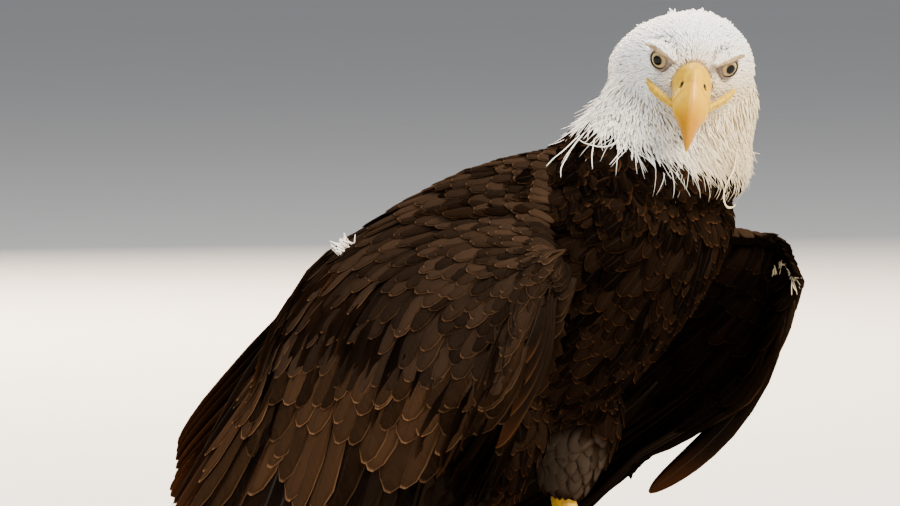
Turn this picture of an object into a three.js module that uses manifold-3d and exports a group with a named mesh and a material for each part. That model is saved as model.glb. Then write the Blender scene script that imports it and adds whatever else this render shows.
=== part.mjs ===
// A bald eagle, Haliaeetus leucocephalus, life size, standing with drooped, half-open wings.
// The bird faces -Y with its left side on +X and up on +Z, and its head turns over its right
// shoulder. Everything is in millimetres. Each named part of the bird is one closed solid that
// gives the outline of its plumage; the group is set so that its origin is the middle of the
// underside of the whole box.

import * as THREE from "three";
import { mergeVertices } from "three/addons/utils/BufferGeometryUtils.js";
import Module from "manifold-3d";

const wasm = await Module();
wasm.setup();

// ---------------------------------------------------------------- driving dimensions

const GAP = 0.4; // clearance kept where two parts meet
const SEAM = 0.03; // half the gap between two wing parts side by side, in ribs
const FLOOR = 0; // soles, tail tip and wing tips rest here

// Trunk: sections from breast to rump, as [dorsal y, z], [ventral y, z], half width.
const TRUNK_SECTIONS = [
  [[-84, 306], [-116, 272], 36],
  [[-62, 313], [-124, 243], 66],
  [[-22, 306], [-113, 216], 80],
  [[20, 294], [-96, 191], 88],
  [[60, 277], [-74, 164], 91],
  [[95, 257], [-50, 140], 89],
  [[126, 235], [-12, 119], 80],
  [[156, 208], [36, 105], 68],
  [[183, 179], [86, 96], 53],
  [[204, 149], [134, 90], 36],
  [[211, 125], [172, 92], 18],
];

// Neck: the shawl of hackles turns with the head, as [centre], half width, half depth, turn.
const NECK_SECTIONS = [
  [[0, -58, 268], 66, 60, 0],
  [[0, -69, 284], 76, 68, 0],
  [[1, -78, 300], 71, 59, 12],
  [[3.6, -85.4, 316], 61, 45, 32],
  [[8.5, -91.2, 332], 53.5, 32, 49],
  [[12.2, -92, 348], 46.5, 24, 57],
  [[16, -94.4, 364], 32, 18, 60],
];

// Head: its own frame sits at the skull's centre and looks along its own -Y.
const HEAD_CENTRE = [2.3, -107.4, 365.3];
const HEAD_TURN = 60; // degrees over the right shoulder
const HEAD_DIP = 21;
const HEAD_ROLL = 7.5; // left eye lower
// Sections from face to nape, as y, half width, top z, bottom z.
const HEAD_SECTIONS = [
  [-43, 12.5, 8, -18],
  [-37, 17.5, 13.5, -25],
  [-28, 23.5, 20, -33],
  [-18, 31, 24.5, -39.5],
  [-6, 40.5, 26, -45],
  [8, 46.5, 25.2, -51],
  [24, 47.5, 21, -53],
  [38, 41, 14, -49],
  [50, 22, -4, -36],
];
const CROWN_RIDGE = 0.12;
const EYE_CENTRE = [18.4, -21.5, 4];
const EYE_RADIUS = 11;
const BROW = [[13.5, -41, 8.5], [21, -34.5, 10.8], [28, -26.5, 11.6], [33, -17, 9.5]];
const BROW_RADII = [1.5, 2.8, 3.0, 1.4];
const GAPE = [[9.5, -57, -16.2], [18, -43.5, -15.8], [24, -34, -15], [28.5, -25, -13.2]];
const GAPE_RADII = [1.3, 1.9, 2.0, 1.0];
const NOSTRIL = [6.9, -58.4, 0.4];
const NOSTRIL_RADII = [2, 2.6, 1.6];

// Bill: sections as [culmen y, z], [cutting edge y, z], half width, and how much narrower the
// section is at its ridge.
const CERE_SECTIONS = [
  [[-38, 8], [-36.5, -15], 12.4, 0.2],
  [[-46, 11.4], [-44.5, -15.2], 11.3, 0.35],
  [[-53, 12], [-51, -15.5], 10, 0.55],
  [[-59.2, 10.2], [-56.8, -16.2], 9.3, 0.75],
];
const BILL_SECTIONS = [
  [[-59.5, 9.9], [-57.1, -16.3], 9.1, 0.75],
  [[-62.5, 8.8], [-59.5, -16.6], 9.4, 0.8],
  [[-68, 5.8], [-64.5, -17.6], 9.8, 0.75],
  [[-75.5, -0.5], [-70.5, -19.6], 9.4, 0.6],
  [[-81.3, -8], [-75, -21.8], 7.3, 0.45],
  [[-85.5, -16], [-78.5, -24.3], 5.2, 0.3],
  [[-87.8, -23.5], [-82.3, -28], 3.2, 0.2],
  [[-88.2, -29], [-85.2, -31], 1.8, 0],
  [[-87.4, -33], [-86.6, -33.6], 0.8, 0],
];
const LOWER_BILL_SECTIONS = [
  [[-36, -16.2], [-35, -27.5], 12.6, 0],
  [[-48, -16.4], [-48, -26.6], 10.8, 0],
  [[-59, -17.6], [-59, -25.8], 8.6, 0],
  [[-66.5, -19.6], [-66, -25], 5.2, 0],
  [[-71, -22], [-70.5, -24], 1.9, 0],
];

// Wings: ribs run from the leading edge to the feather tips, from the innermost feather beside
// the back, by elbow and wrist, to the outermost primary. Points are on the outer surface.
const RIGHT_WING_RIBS = [
  [[-36, -40, 305], [-37, 30, 290], [-37, 96, 257], [-37, 148, 225], [-42, 187, 190],
    [-52, 211, 150], [-62, 228, 110]],
  [[-62, -38, 300], [-70, 16, 287], [-74, 80, 259], [-90, 126, 222], [-118, 140, 182],
    [-142, 142, 142], [-153, 160, 104], [-156, 190, 62], [-154, 232, 6]],
  [[-90, -44, 266], [-108, 10, 254], [-122, 62, 228], [-143, 84, 188], [-157, 95, 143],
    [-164, 106, 103], [-165, 122, 62], [-160, 156, 5]],
  [[-118, -64, 246], [-142, -24, 232], [-159, 4, 200], [-168, 17, 154], [-170, 31, 108],
    [-167, 48, 66], [-161, 82, 5]],
  [[-148, -86, 237], [-160, -78, 206], [-163, -60, 158], [-151, -18, 98], [-139, 6, 58],
    [-120, 50, 14], [-112, 92, 5]],
  [[-147, -97, 210], [-136, -80, 176], [-116, -51, 137], [-82, 3, 67], [-64, 42, 24],
    [-48, 110, 6], [-32, 236, 5]],
];
const LEFT_WING_RIBS = [
  [[36, -40, 307], [32, 30, 297], [22, 98, 269], [6, 156, 232], [-6, 204, 188],
    [-8, 244, 146], [-8, 296, 92]],
  [[62, -38, 300], [68, 22, 286], [60, 98, 258], [42, 164, 216], [26, 220, 162],
    [15, 270, 112], [12, 312, 72]],
  [[90, -46, 266], [107, 20, 251], [100, 96, 224], [80, 166, 181], [58, 236, 128],
    [44, 296, 76], [40, 328, 46]],
  [[118, -66, 247], [144, -14, 232], [154, 50, 196], [146, 120, 142], [124, 196, 84],
    [102, 262, 38], [88, 308, 14]],
  [[150, -90, 236], [164, -78, 200], [163, -46, 158], [148, 14, 98], [128, 90, 48],
    [108, 158, 18], [92, 240, 5]],
  [[147, -107, 208], [145, -92, 168], [136, -72, 130], [119, -40, 104], [98, -12, 84],
    [76, 24, 44], [58, 84, 14], [44, 150, 6], [30, 256, 5]],
];
const OUTER_RIB = RIGHT_WING_RIBS.length - 1;
const ARM_THICKNESSES = [14, 20, 24, 21, 14, 11]; // under each rib
const VANE_THICKNESS = 3;
const TIP_THICKNESS = 1.6;
// Spans across the ribs, counted from 0 at the innermost to 5 at the outermost, as name, span;
// the feather rows add their feathers, how deeply their tips are notched, and steps a feather.
const ARM_PARTS = [
  ["upper_arm", [0, 1.9]],
  ["forearm", [1.9, 3.95]],
  ["hand", [3.95, 5]],
];
const FEATHER_PARTS = [
  ["tertials", [0, 1.5], 5, 0.06, 2],
  ["secondaries", [1.5, 3.95], 11, 0.045, 2],
  ["primaries", [3.95, 5], 10, 0.07, 3],
];
const FEATHERS_FROM = 0.4; // how far along the ribs the arm ends and the bare vanes begin

// Alula: the small feathers of the thumb, as a blade from the wrist: path and half widths.
const RIGHT_ALULA = [[-157, -92, 190], [-151, -73, 161], [-140, -53, 137], [-127, -33, 113]];
const LEFT_ALULA = [[141, -84, 152], [135, -60, 116], [127, -34, 89], [113, -8, 66]];
const ALULA_HALF_WIDTHS = [6, 11, 12, 4];
const ALULA_THICKNESS = 4;

// Tail: twelve feathers from the rump to the floor, as [y, z, half width] of the top surface.
const TAIL_SECTIONS = [
  [186, 108, 27], [230, 80, 37], [290, 48, 49], [350, 20, 60], [392, 4.6, 66], [422, 3.4, 66],
];
const TAIL_FEATHERS = 12;
const TAIL_ROOT_THICKNESS = 16;

// Legs, for the left side: the right one is its mirror image.
const THIGH_PATH = [[44, 22, 150], [47, 13, 122], [47, 14, 94], [44, 19, 64]];
const THIGH_RADII = [33, 38, 29, 14];
const TARSUS_PATH = [[44, 19, 74], [44, 14, 52], [44, 6, 28], [44, 0, 15]];
const TARSUS_RADII = [9, 8.2, 8.4, 11];
const FOOT_CENTRE = [44, 0, 11];
// Toes: name, direction in degrees from straight ahead (outward positive), length, talon length.
const TOES = [
  ["toe_inner", -32, 54, 31],
  ["toe_middle", 4, 74, 30],
  ["toe_outer", 38, 58, 27],
  ["toe_hind", 178, 40, 36],
];
const TOE_START = 11.4; // toes begin this far from the foot's centre
const TOE_HEIGHTS = [9, 8.4, 7.2, 6.6, 7];
const TOE_RADII = [8.6, 8.2, 7.2, 6.6, 5.4];

// ---------------------------------------------------------------- finishes

const PLUMAGE_DARK = new THREE.MeshStandardMaterial({ color: 0x2a1f18, roughness: 0.85 });
const PLUMAGE_WHITE = new THREE.MeshStandardMaterial({ color: 0xe9e6de, roughness: 0.9 });
const HORN_YELLOW = new THREE.MeshStandardMaterial({ color: 0xd9a02c, roughness: 0.4 });
const SKIN_YELLOW = new THREE.MeshStandardMaterial({ color: 0xd8a62e, roughness: 0.55 });
const BROW_SKIN = new THREE.MeshStandardMaterial({ color: 0xcdb69a, roughness: 0.7 });
const TALON_BLACK = new THREE.MeshStandardMaterial({ color: 0x17161a, roughness: 0.3 });
const EYE_PALE = new THREE.MeshStandardMaterial({ color: 0xd8cfa6, roughness: 0.1 });

// ---------------------------------------------------------------- solids

const v3 = (p) => new THREE.Vector3(...p);
const mirrorX = (p) => [-p[0], p[1], p[2]];
const smooth = (points) => new THREE.CatmullRomCurve3(points.map(v3));

// One closed body from a row of rings with equal counts; each end is closed by a fan.
function loft(rings) {
  const count = rings[0].length;
  const positions = [];
  const index = [];
  rings.flat().forEach((p) => positions.push(p.x, p.y, p.z));
  const at = (ring, k) => ring * count + (k % count);
  for (let r = 0; r + 1 < rings.length; r++)
    for (let k = 0; k < count; k++) {
      index.push(at(r, k), at(r, k + 1), at(r + 1, k));
      index.push(at(r, k + 1), at(r + 1, k + 1), at(r + 1, k));
    }
  [0, rings.length - 1].forEach((r) => {
    const middle = new THREE.Vector3();
    rings[r].forEach((p) => middle.addScaledVector(p, 1 / count));
    const hub = positions.length / 3;
    positions.push(middle.x, middle.y, middle.z);
    for (let k = 0; k < count; k++)
      index.push(...(r ? [hub, at(r, k), at(r, k + 1)] : [hub, at(r, k + 1), at(r, k)]));
  });
  return closedBody(positions, index);
}

// One closed body between two sheets of points on the same grid: both faces and the rim.
function slab(upper, lower) {
  const [rows, columns] = [upper.length, upper[0].length];
  const positions = [];
  [...upper.flat(), ...lower.flat()].forEach((p) => positions.push(p.x, p.y, p.z));
  const at = (sheet, i, j) => (sheet * rows + i) * columns + j;
  const index = [];
  const quad = (a, b, c, d) => index.push(a, b, c, a, c, d);
  for (let i = 0; i + 1 < rows; i++)
    for (let j = 0; j + 1 < columns; j++) {
      quad(at(0, i, j), at(0, i + 1, j), at(0, i + 1, j + 1), at(0, i, j + 1));
      quad(at(1, i, j), at(1, i, j + 1), at(1, i + 1, j + 1), at(1, i + 1, j));
    }
  for (let i = 0; i + 1 < rows; i++) {
    const last = columns - 1;
    quad(at(0, i, 0), at(1, i, 0), at(1, i + 1, 0), at(0, i + 1, 0));
    quad(at(0, i + 1, last), at(1, i + 1, last), at(1, i, last), at(0, i, last));
  }
  for (let j = 0; j + 1 < columns; j++) {
    const last = rows - 1;
    quad(at(0, 0, j + 1), at(1, 0, j + 1), at(1, 0, j), at(0, 0, j));
    quad(at(0, last, j), at(1, last, j), at(1, last, j + 1), at(0, last, j + 1));
  }
  return closedBody(positions, index);
}

function closedBody(positions, index) {
  const geometry = new THREE.BufferGeometry();
  geometry.setAttribute("position", new THREE.Float32BufferAttribute(positions, 3));
  geometry.setIndex(index);
  return outward(geometry);
}

// Six times the signed volume decides whether the faces point out; if not, they are turned.
function outward(geometry) {
  const p = geometry.getAttribute("position");
  const index = geometry.index.array;
  const [a, b, c] = [new THREE.Vector3(), new THREE.Vector3(), new THREE.Vector3()];
  let volume = 0;
  for (let i = 0; i < index.length; i += 3) {
    a.fromBufferAttribute(p, index[i]);
    b.fromBufferAttribute(p, index[i + 1]);
    c.fromBufferAttribute(p, index[i + 2]);
    volume += a.dot(b.cross(c));
  }
  if (volume < 0) {
    const turned = Array.from(index);
    for (let i = 0; i < turned.length; i += 3)
      [turned[i + 1], turned[i + 2]] = [turned[i + 2], turned[i + 1]];
    geometry.setIndex(turned);
  }
  return geometry;
}

const toSolid = (geometry) => {
  const bare = geometry.clone();
  bare.deleteAttribute("normal");
  bare.deleteAttribute("uv");
  const merged = mergeVertices(bare, 1e-4);
  return new wasm.Manifold(new wasm.Mesh({
    numProp: 3,
    vertProperties: merged.getAttribute("position").array,
    triVerts: new Uint32Array(merged.index.array),
  }));
};

const toGeometry = (solid) => {
  const mesh = solid.getMesh();
  const geometry = new THREE.BufferGeometry();
  geometry.setAttribute("position", new THREE.BufferAttribute(mesh.vertProperties.slice(), 3));
  geometry.setIndex(new THREE.BufferAttribute(mesh.triVerts.slice(), 1));
  return geometry;
};

// The same surface moved out along its vertex normals by the clearance.
function grown(geometry, by = GAP) {
  const bare = geometry.clone();
  bare.deleteAttribute("normal");
  bare.deleteAttribute("uv");
  const wider = mergeVertices(bare, 1e-4);
  wider.computeVertexNormals();
  const p = wider.getAttribute("position");
  const n = wider.getAttribute("normal");
  for (let i = 0; i < p.count; i++)
    p.setXYZ(i, p.getX(i) + by * n.getX(i), p.getY(i) + by * n.getY(i), p.getZ(i) + by * n.getZ(i));
  return wider;
}

// A part less its neighbours and their clearance; only the biggest piece that is left is kept.
function cut(geometry, neighbours) {
  const pieces = neighbours
    .reduce((solid, other) => solid.subtract(toSolid(grown(other))), toSolid(geometry))
    .decompose();
  return toGeometry(pieces.reduce((a, b) => (b.volume() > a.volume() ? b : a)));
}

// ---------------------------------------------------------------- shapes

// A ring around the line from top to bottom in the plane x = 0, rounded with a squareness.
function profileRing([ty, tz], [by, bz], halfWidth, sides, squareness = 2, ridge = 0) {
  const ring = [];
  for (let k = 0; k < sides; k++) {
    const angle = (2 * Math.PI * k) / sides;
    const [c, s] = [Math.cos(angle), Math.sin(angle)];
    const power = 2 / squareness;
    const up = Math.sign(c) * Math.abs(c) ** power;
    const side = Math.sign(s) * Math.abs(s) ** power;
    const [y, z] = [(ty + by) / 2 + ((ty - by) / 2) * up, (tz + bz) / 2 + ((tz - bz) / 2) * up];
    ring.push(new THREE.Vector3(halfWidth * side * (1 - ridge * up), y, z));
  }
  return ring;
}

const profiled = (sections, sides, squareness) =>
  loft(sections.map(([top, bottom, w, ridge]) =>
    profileRing(top, bottom, w, sides, squareness, ridge)));

// Draws the back of the skull to its right, and its crown back to the left, as on a turned neck.
function drawAside(geometry) {
  const place = geometry.attributes.position;
  for (let i = 0; i < place.count; i++) {
    const [x, y, z] = [place.getX(i), place.getY(i), place.getZ(i)];
    const share = THREE.MathUtils.smoothstep(y, -10, 24);
    place.setX(i, x + share * (0.18 * z - 4.5));
    place.setZ(i, z + share * (0.06 * x - 1.3));
  }
}

// A round bar along a smooth path; nothing of it goes under the floor.
function bar(path, radii, { sides = 8, steps = 6, floor = -Infinity } = {}) {
  const curve = smooth(path);
  const width = smooth(radii.map((r) => [r, 0, 0]));
  const rings = [];
  for (let i = 0; i <= steps; i++) {
    const t = i / steps;
    const along = curve.getTangent(t);
    const across = new THREE.Vector3(1, 0, 0);
    across.addScaledVector(along, -along.x).normalize();
    const over = along.clone().cross(across).normalize();
    const radius = width.getPoint(t).x;
    const ring = [];
    for (let k = 0; k < sides; k++) {
      const angle = (2 * Math.PI * k) / sides;
      const p = curve.getPoint(t);
      p.addScaledVector(across, radius * Math.cos(angle));
      p.addScaledVector(over, radius * Math.sin(angle));
      p.z = Math.max(p.z, floor);
      ring.push(p);
    }
    rings.push(ring);
  }
  return loft(rings);
}

// A wing's outer surface: across counts the ribs, along goes from 0 to 1 at the tips.
function wingSurface(ribs) {
  const curves = ribs.map(smooth);
  return (across, along) => {
    const row = curves.map((curve) => curve.getPointAt(Math.min(along, 1)));
    const across01 = across / (ribs.length - 1);
    return new THREE.CatmullRomCurve3(row, false, "catmullrom").getPoint(across01);
  };
}

// The outward normal of a wing surface, on the side away from the bird's middle plane.
function surfaceNormal(surface, across, along, side) {
  const [da, db] = [0.5, 0.08];
  const [a0, a1] = [Math.max(across - da, 0), Math.min(across + da, OUTER_RIB)];
  const [b0, b1] = [Math.max(along - db, 0), Math.min(along + db, 1)];
  const du = surface(a1, along).sub(surface(a0, along));
  const dv = surface(across, b1).sub(surface(across, b0));
  return du.cross(dv).normalize().multiplyScalar(side);
}

// Depth of the wing under its outer surface: a rounded leading edge, a full arm, thin vanes.
function wingThickness(across, along) {
  const fleshy = 1 - THREE.MathUtils.smoothstep(along, 0.08, FEATHERS_FROM + 0.04);
  const edge = Math.sqrt(Math.min(1, 0.06 + along / 0.05));
  const vane = THREE.MathUtils.lerp(VANE_THICKNESS, TIP_THICKNESS, along);
  const rib = Math.min(Math.floor(across), OUTER_RIB - 1);
  const arm = THREE.MathUtils.lerp(ARM_THICKNESSES[rib], ARM_THICKNESSES[rib + 1], across - rib);
  return (vane + (arm - vane) * fleshy) * edge;
}

// A patch of a wing as a closed slab; reach(across) gives how far along each rib it goes.
function wingPatch(surface, side, [from, to], start, reach, acrossSteps, alongSteps) {
  const sheets = [[], []];
  for (let i = 0; i <= acrossSteps; i++) {
    const across = THREE.MathUtils.lerp(from, to, i / acrossSteps);
    const outer = [];
    const inner = [];
    for (let j = 0; j <= alongSteps; j++) {
      const along = THREE.MathUtils.lerp(start, reach(i / acrossSteps), j / alongSteps);
      const p = surface(across, along);
      p.z = Math.max(p.z, FLOOR + VANE_THICKNESS);
      const n = surfaceNormal(surface, across, along, side);
      const under = p.clone().addScaledVector(n, -wingThickness(across, along));
      under.z = Math.max(under.z, FLOOR);
      outer.push(p);
      inner.push(under);
    }
    sheets[0].push(outer);
    sheets[1].push(inner);
  }
  return slab(...sheets);
}

// How far a row of round-ended feathers reaches at a place across the row.
const feathered = (count, notch) => (place) => {
  const within = Math.abs(2 * ((place * count) % 1) - 1);
  const offset = place >= 1 ? 1 : within;
  return 1 - notch * offset ** 3;
};

function alula(path, side) {
  const curve = smooth(path);
  const rings = [];
  const steps = 7;
  for (let i = 0; i <= steps; i++) {
    const t = i / steps;
    const along = curve.getTangent(t);
    const out = new THREE.Vector3(side, -0.45, 0.1);
    out.addScaledVector(along, -out.dot(along)).normalize();
    const across = along.clone().cross(out).normalize();
    const half = smooth(ALULA_HALF_WIDTHS.map((w) => [w, 0, 0])).getPoint(t).x;
    const ring = [];
    for (let k = 0; k < 8; k++) {
      const angle = (Math.PI * k) / 4;
      const p = curve.getPoint(t);
      p.addScaledVector(across, half * Math.cos(angle));
      ring.push(p.addScaledVector(out, (ALULA_THICKNESS / 2) * Math.sin(angle)));
    }
    rings.push(ring);
  }
  return loft(rings);
}

// The tail as one fan: a slab whose far edge is scalloped by its twelve feathers.
function tail() {
  const ridge = smooth(TAIL_SECTIONS.map(([y, z]) => [0, y, z]));
  const spread = smooth(TAIL_SECTIONS.map(([, , w]) => [w, 0, 0]));
  const reach = feathered(TAIL_FEATHERS, 0.03);
  const [acrossSteps, alongSteps] = [TAIL_FEATHERS * 2, 4];
  const sheets = [[], []];
  for (let i = 0; i <= acrossSteps; i++) {
    const place = i / acrossSteps;
    const sideways = 2 * place - 1;
    const top = [];
    const bottom = [];
    for (let j = 0; j <= alongSteps; j++) {
      const along = (j / alongSteps) * reach(place) * (1 - 0.045 * sideways ** 2);
      const p = ridge.getPoint(along);
      p.x = sideways * spread.getPoint(along).x;
      p.z = Math.max(p.z - 6 * sideways ** 2 * (1 - along), FLOOR + TIP_THICKNESS);
      const depth = THREE.MathUtils.lerp(TAIL_ROOT_THICKNESS, VANE_THICKNESS, Math.min(1, 2 * along));
      top.push(p);
      const under = p.clone();
      under.z = Math.max(p.z - depth, FLOOR);
      bottom.push(under);
    }
    sheets[0].push(top);
    sheets[1].push(bottom);
  }
  return slab(...sheets);
}

// A toe with a flat sole, and its hooked talon, which both point along one heading.
function toeAndTalon([, heading, length, talonLength], side) {
  const angle = THREE.MathUtils.degToRad(heading);
  const [dx, dy] = [side * Math.sin(angle), -Math.cos(angle)];
  const [cx, cy] = [side * FOOT_CENTRE[0], FOOT_CENTRE[1]];
  const at = (distance, z) => [cx + dx * distance, cy + dy * distance, z];
  const last = TOE_HEIGHTS.length - 1;
  const toePath = TOE_HEIGHTS.map((z, i) => at(TOE_START + ((length - TOE_START) * i) / last, z));
  const toe = bar(toePath, TOE_RADII, { sides: 8, steps: 3, floor: FLOOR });
  const talonPath = [
    at(length + GAP, 9),
    at(length + 0.38 * talonLength, 10.5),
    at(length + 0.66 * talonLength, 7.6),
    at(length + 0.8 * talonLength, 1.6),
  ];
  const talon = bar(talonPath, [5, 4.2, 2.6, 0.7], { sides: 6, steps: 4, floor: FLOOR + 0.4 });
  return [toe, talon];
}

// ---------------------------------------------------------------- the bird

const bird = new THREE.Group();

function add(parent, name, geometry, material) {
  const shaded = geometry.index ? geometry : mergeVertices(geometry);
  shaded.computeVertexNormals();
  const mesh = new THREE.Mesh(shaded, material);
  mesh.name = name;
  parent.add(mesh);
}

const head = new THREE.Group();
head.position.set(...HEAD_CENTRE);
head.rotation.set(
  THREE.MathUtils.degToRad(HEAD_DIP),
  THREE.MathUtils.degToRad(HEAD_ROLL),
  THREE.MathUtils.degToRad(-HEAD_TURN),
  "ZXY",
);
head.updateMatrix();
bird.add(head);

// Head frame: skull, eyes, brows and bill.
const skull = profiled(
  HEAD_SECTIONS.map(([y, w, top, bottom]) => [[y, top], [y, bottom], w, CROWN_RIDGE]), 20);
drawAside(skull);
const cere = profiled(CERE_SECTIONS, 16, 2.2);
const upperBill = profiled(BILL_SECTIONS, 16, 2.2);
const lowerBill = profiled(LOWER_BILL_SECTIONS, 12, 2.4);
const eyes = [-1, 1].map((side) => {
  const [x, y, z] = EYE_CENTRE;
  const ball = new THREE.SphereGeometry(EYE_RADIUS, 16, 9).translate(side * x, y, z);
  ball.deleteAttribute("normal");
  ball.deleteAttribute("uv");
  return mergeVertices(ball, 1e-3);
});
const sided = (path, side) => path.map(([x, y, z]) => [side * x, y, z]);
const brows = [-1, 1].map((side) => bar(sided(BROW, side), BROW_RADII, { sides: 8, steps: 7 }));
const gapes = [-1, 1].map((side) => bar(sided(GAPE, side), GAPE_RADII, { sides: 8, steps: 7 }));
const nostrils = [-1, 1].map((side) => {
  const [x, y, z] = NOSTRIL;
  const pit = new THREE.SphereGeometry(1, 8, 5).scale(...NOSTRIL_RADII);
  return pit.rotateX(-0.5).translate(side * (x + 1), y, z);
});

const billParts = [cere, upperBill];
add(head, "cere", cut(cere, nostrils), HORN_YELLOW);
add(head, "bill_upper", upperBill, HORN_YELLOW);
add(head, "bill_lower", cut(lowerBill, billParts), HORN_YELLOW);
["right", "left"].forEach((name, i) => {
  add(head, `eye_${name}`, eyes[i], EYE_PALE);
  add(head, `brow_${name}`, cut(brows[i], [eyes[i], ...billParts]), BROW_SKIN);
  add(head, `gape_${name}`, cut(gapes[i], [eyes[i], lowerBill, ...billParts]), SKIN_YELLOW);
});
const faceParts = [...eyes, ...brows, ...gapes, ...billParts, lowerBill];
add(head, "head", cut(skull, faceParts), PLUMAGE_WHITE);

// Neck and trunk, with the head and its lower parts cut clear.
const inBird = (geometry) => geometry.clone().applyMatrix4(head.matrix);
const neckRings = NECK_SECTIONS.map(([centre, halfWidth, halfDepth, turn]) => {
  const rise = 0.12 * halfDepth;
  const ring = profileRing([halfDepth, rise], [-halfDepth, -rise], halfWidth, 24);
  const aboutUp = new THREE.Vector3(0, 0, 1);
  return ring.map((p) => p.applyAxisAngle(aboutUp, -THREE.MathUtils.degToRad(turn)).add(v3(centre)));
});
const trunk = profiled(TRUNK_SECTIONS, 24);
const neck = cut(loft(neckRings), [skull, ...faceParts].map(inBird));
add(bird, "trunk", trunk, PLUMAGE_DARK);
add(bird, "neck", cut(neck, [trunk]), PLUMAGE_WHITE);

const tailFan = cut(tail(), [trunk]);
add(bird, "tail", tailFan, PLUMAGE_WHITE);

// Wings: three fleshy parts, three rows of flight feathers and the alula on each side.
function addWing(name, side, ribs, alulaPath) {
  const surface = wingSurface(ribs);
  const addPart = (part, geometry, neighbours) => {
    const piece = cut(geometry, neighbours);
    add(bird, `wing_${name}_${part}`, piece, PLUMAGE_DARK);
    return piece;
  };
  const inset = ([from, to]) => [from ? from + SEAM : from, to < OUTER_RIB ? to - SEAM : to];
  const arms = ARM_PARTS.map(([part, span]) => {
    const patch = wingPatch(surface, side, inset(span), 0, () => FEATHERS_FROM, 7, 5);
    return addPart(part, patch, [trunk, neck]);
  });
  const rows = FEATHER_PARTS.map(([part, span, count, notch, steps]) => {
    const start = FEATHERS_FROM + GAP / 100; // over a hundred millimetres of rib
    const reach = feathered(count, notch);
    const patch = wingPatch(surface, side, inset(span), start, reach, count * steps, 4);
    return addPart(part, patch, [trunk, tailFan]);
  });
  addPart("alula", alula(alulaPath, side), [...arms, ...rows]);
}

addWing("right", -1, RIGHT_WING_RIBS, RIGHT_ALULA);
addWing("left", 1, LEFT_WING_RIBS, LEFT_ALULA);

// Legs.
[["right", -1], ["left", 1]].forEach(([name, side]) => {
  const thigh = bar(sided(THIGH_PATH, side), THIGH_RADII, { sides: 16, steps: 6 });
  const tarsus = bar(sided(TARSUS_PATH, side), TARSUS_RADII, { sides: 10, steps: 3 });
  const toes = TOES.map((toe) => toeAndTalon(toe, side));
  add(bird, `leg_${name}_thigh`, cut(thigh, [trunk]), PLUMAGE_DARK);
  const foot = new THREE.SphereGeometry(12.5, 12, 7).scale(1, 1, 0.88);
  foot.translate(side * FOOT_CENTRE[0], FOOT_CENTRE[1], FOOT_CENTRE[2]);
  foot.deleteAttribute("normal");
  foot.deleteAttribute("uv");
  const shank = toGeometry(toSolid(tarsus).add(toSolid(foot)));
  add(bird, `leg_${name}_tarsus`, cut(shank, [thigh]), SKIN_YELLOW);
  const taken = [shank];
  TOES.forEach(([toe], i) => {
    const digit = cut(toes[i][0], taken);
    taken.push(digit);
    add(bird, `leg_${name}_${toe}`, digit, SKIN_YELLOW);
    add(bird, `leg_${name}_${toe}_talon`, cut(toes[i][1], [digit]), TALON_BLACK);
  });
});

// The origin: the middle of the underside of the whole bird's box.
bird.updateMatrixWorld(true);
const box = new THREE.Box3().setFromObject(bird, true);
const middle = box.getCenter(new THREE.Vector3());
bird.position.set(-middle.x, -middle.y, -box.min.z);

const eagle = new THREE.Group();
eagle.add(bird);

export default eagle;
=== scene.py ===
import math

import bpy
import numpy as np
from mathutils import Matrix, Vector
from mathutils.bvhtree import BVHTree


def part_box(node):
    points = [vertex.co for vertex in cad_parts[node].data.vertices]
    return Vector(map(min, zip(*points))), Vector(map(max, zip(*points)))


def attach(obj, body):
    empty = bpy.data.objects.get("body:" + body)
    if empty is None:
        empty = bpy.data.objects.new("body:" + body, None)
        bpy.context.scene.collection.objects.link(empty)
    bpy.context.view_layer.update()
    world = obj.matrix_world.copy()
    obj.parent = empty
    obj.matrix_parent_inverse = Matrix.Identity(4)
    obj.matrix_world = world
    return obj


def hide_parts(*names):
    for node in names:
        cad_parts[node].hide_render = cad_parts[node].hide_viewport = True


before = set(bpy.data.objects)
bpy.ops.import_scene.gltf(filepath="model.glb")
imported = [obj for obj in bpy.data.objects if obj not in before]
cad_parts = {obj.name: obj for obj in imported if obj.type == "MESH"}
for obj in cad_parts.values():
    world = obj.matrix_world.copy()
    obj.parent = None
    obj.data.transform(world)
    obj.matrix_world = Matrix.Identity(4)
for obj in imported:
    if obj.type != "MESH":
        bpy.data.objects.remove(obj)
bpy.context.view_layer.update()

# A bald eagle, life size, standing with drooped, half-open wings and its head turned over its
# right shoulder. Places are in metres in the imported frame; the tables below are in millimetres
# in the bird's own plan, which faces -Y from the middle between its two feet, and pass through
# mm() or plan().

# ---- measures of the bird

FOOT_RADIUS = 12.5
EYE_CENTRE = [18.4, -21.5, 4]
EYE_RADIUS = 11
HEAD_CENTRE = [2.3, -107.4, 365.3]
HEAD_TURN, HEAD_DIP, HEAD_ROLL = 60, 21, 7.5

# Trunk from breast to rump: [dorsal y, z], [ventral y, z], half width.
TRUNK = [
    ([-84, 306], [-116, 272], 36), ([-62, 313], [-124, 243], 66), ([-22, 306], [-113, 216], 80),
    ([20, 294], [-96, 191], 88), ([60, 277], [-74, 164], 91), ([95, 257], [-50, 140], 89),
    ([126, 235], [-12, 119], 80), ([156, 208], [36, 105], 68), ([183, 179], [86, 96], 53),
    ([204, 149], [134, 90], 36), ([211, 125], [172, 92], 18),
]
# Neck from the shoulders up: centre, half width, half depth, turn.
NECK = [
    ([0, -58, 268], 66, 60, 0), ([0, -69, 284], 76, 68, 0), ([1, -78, 300], 71, 59, 12),
    ([3.6, -85.4, 316], 61, 45, 32), ([8.5, -91.2, 332], 53.5, 32, 49),
    ([12.2, -92, 348], 46.5, 24, 57), ([16, -94.4, 364], 32, 18, 60),
]
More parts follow.
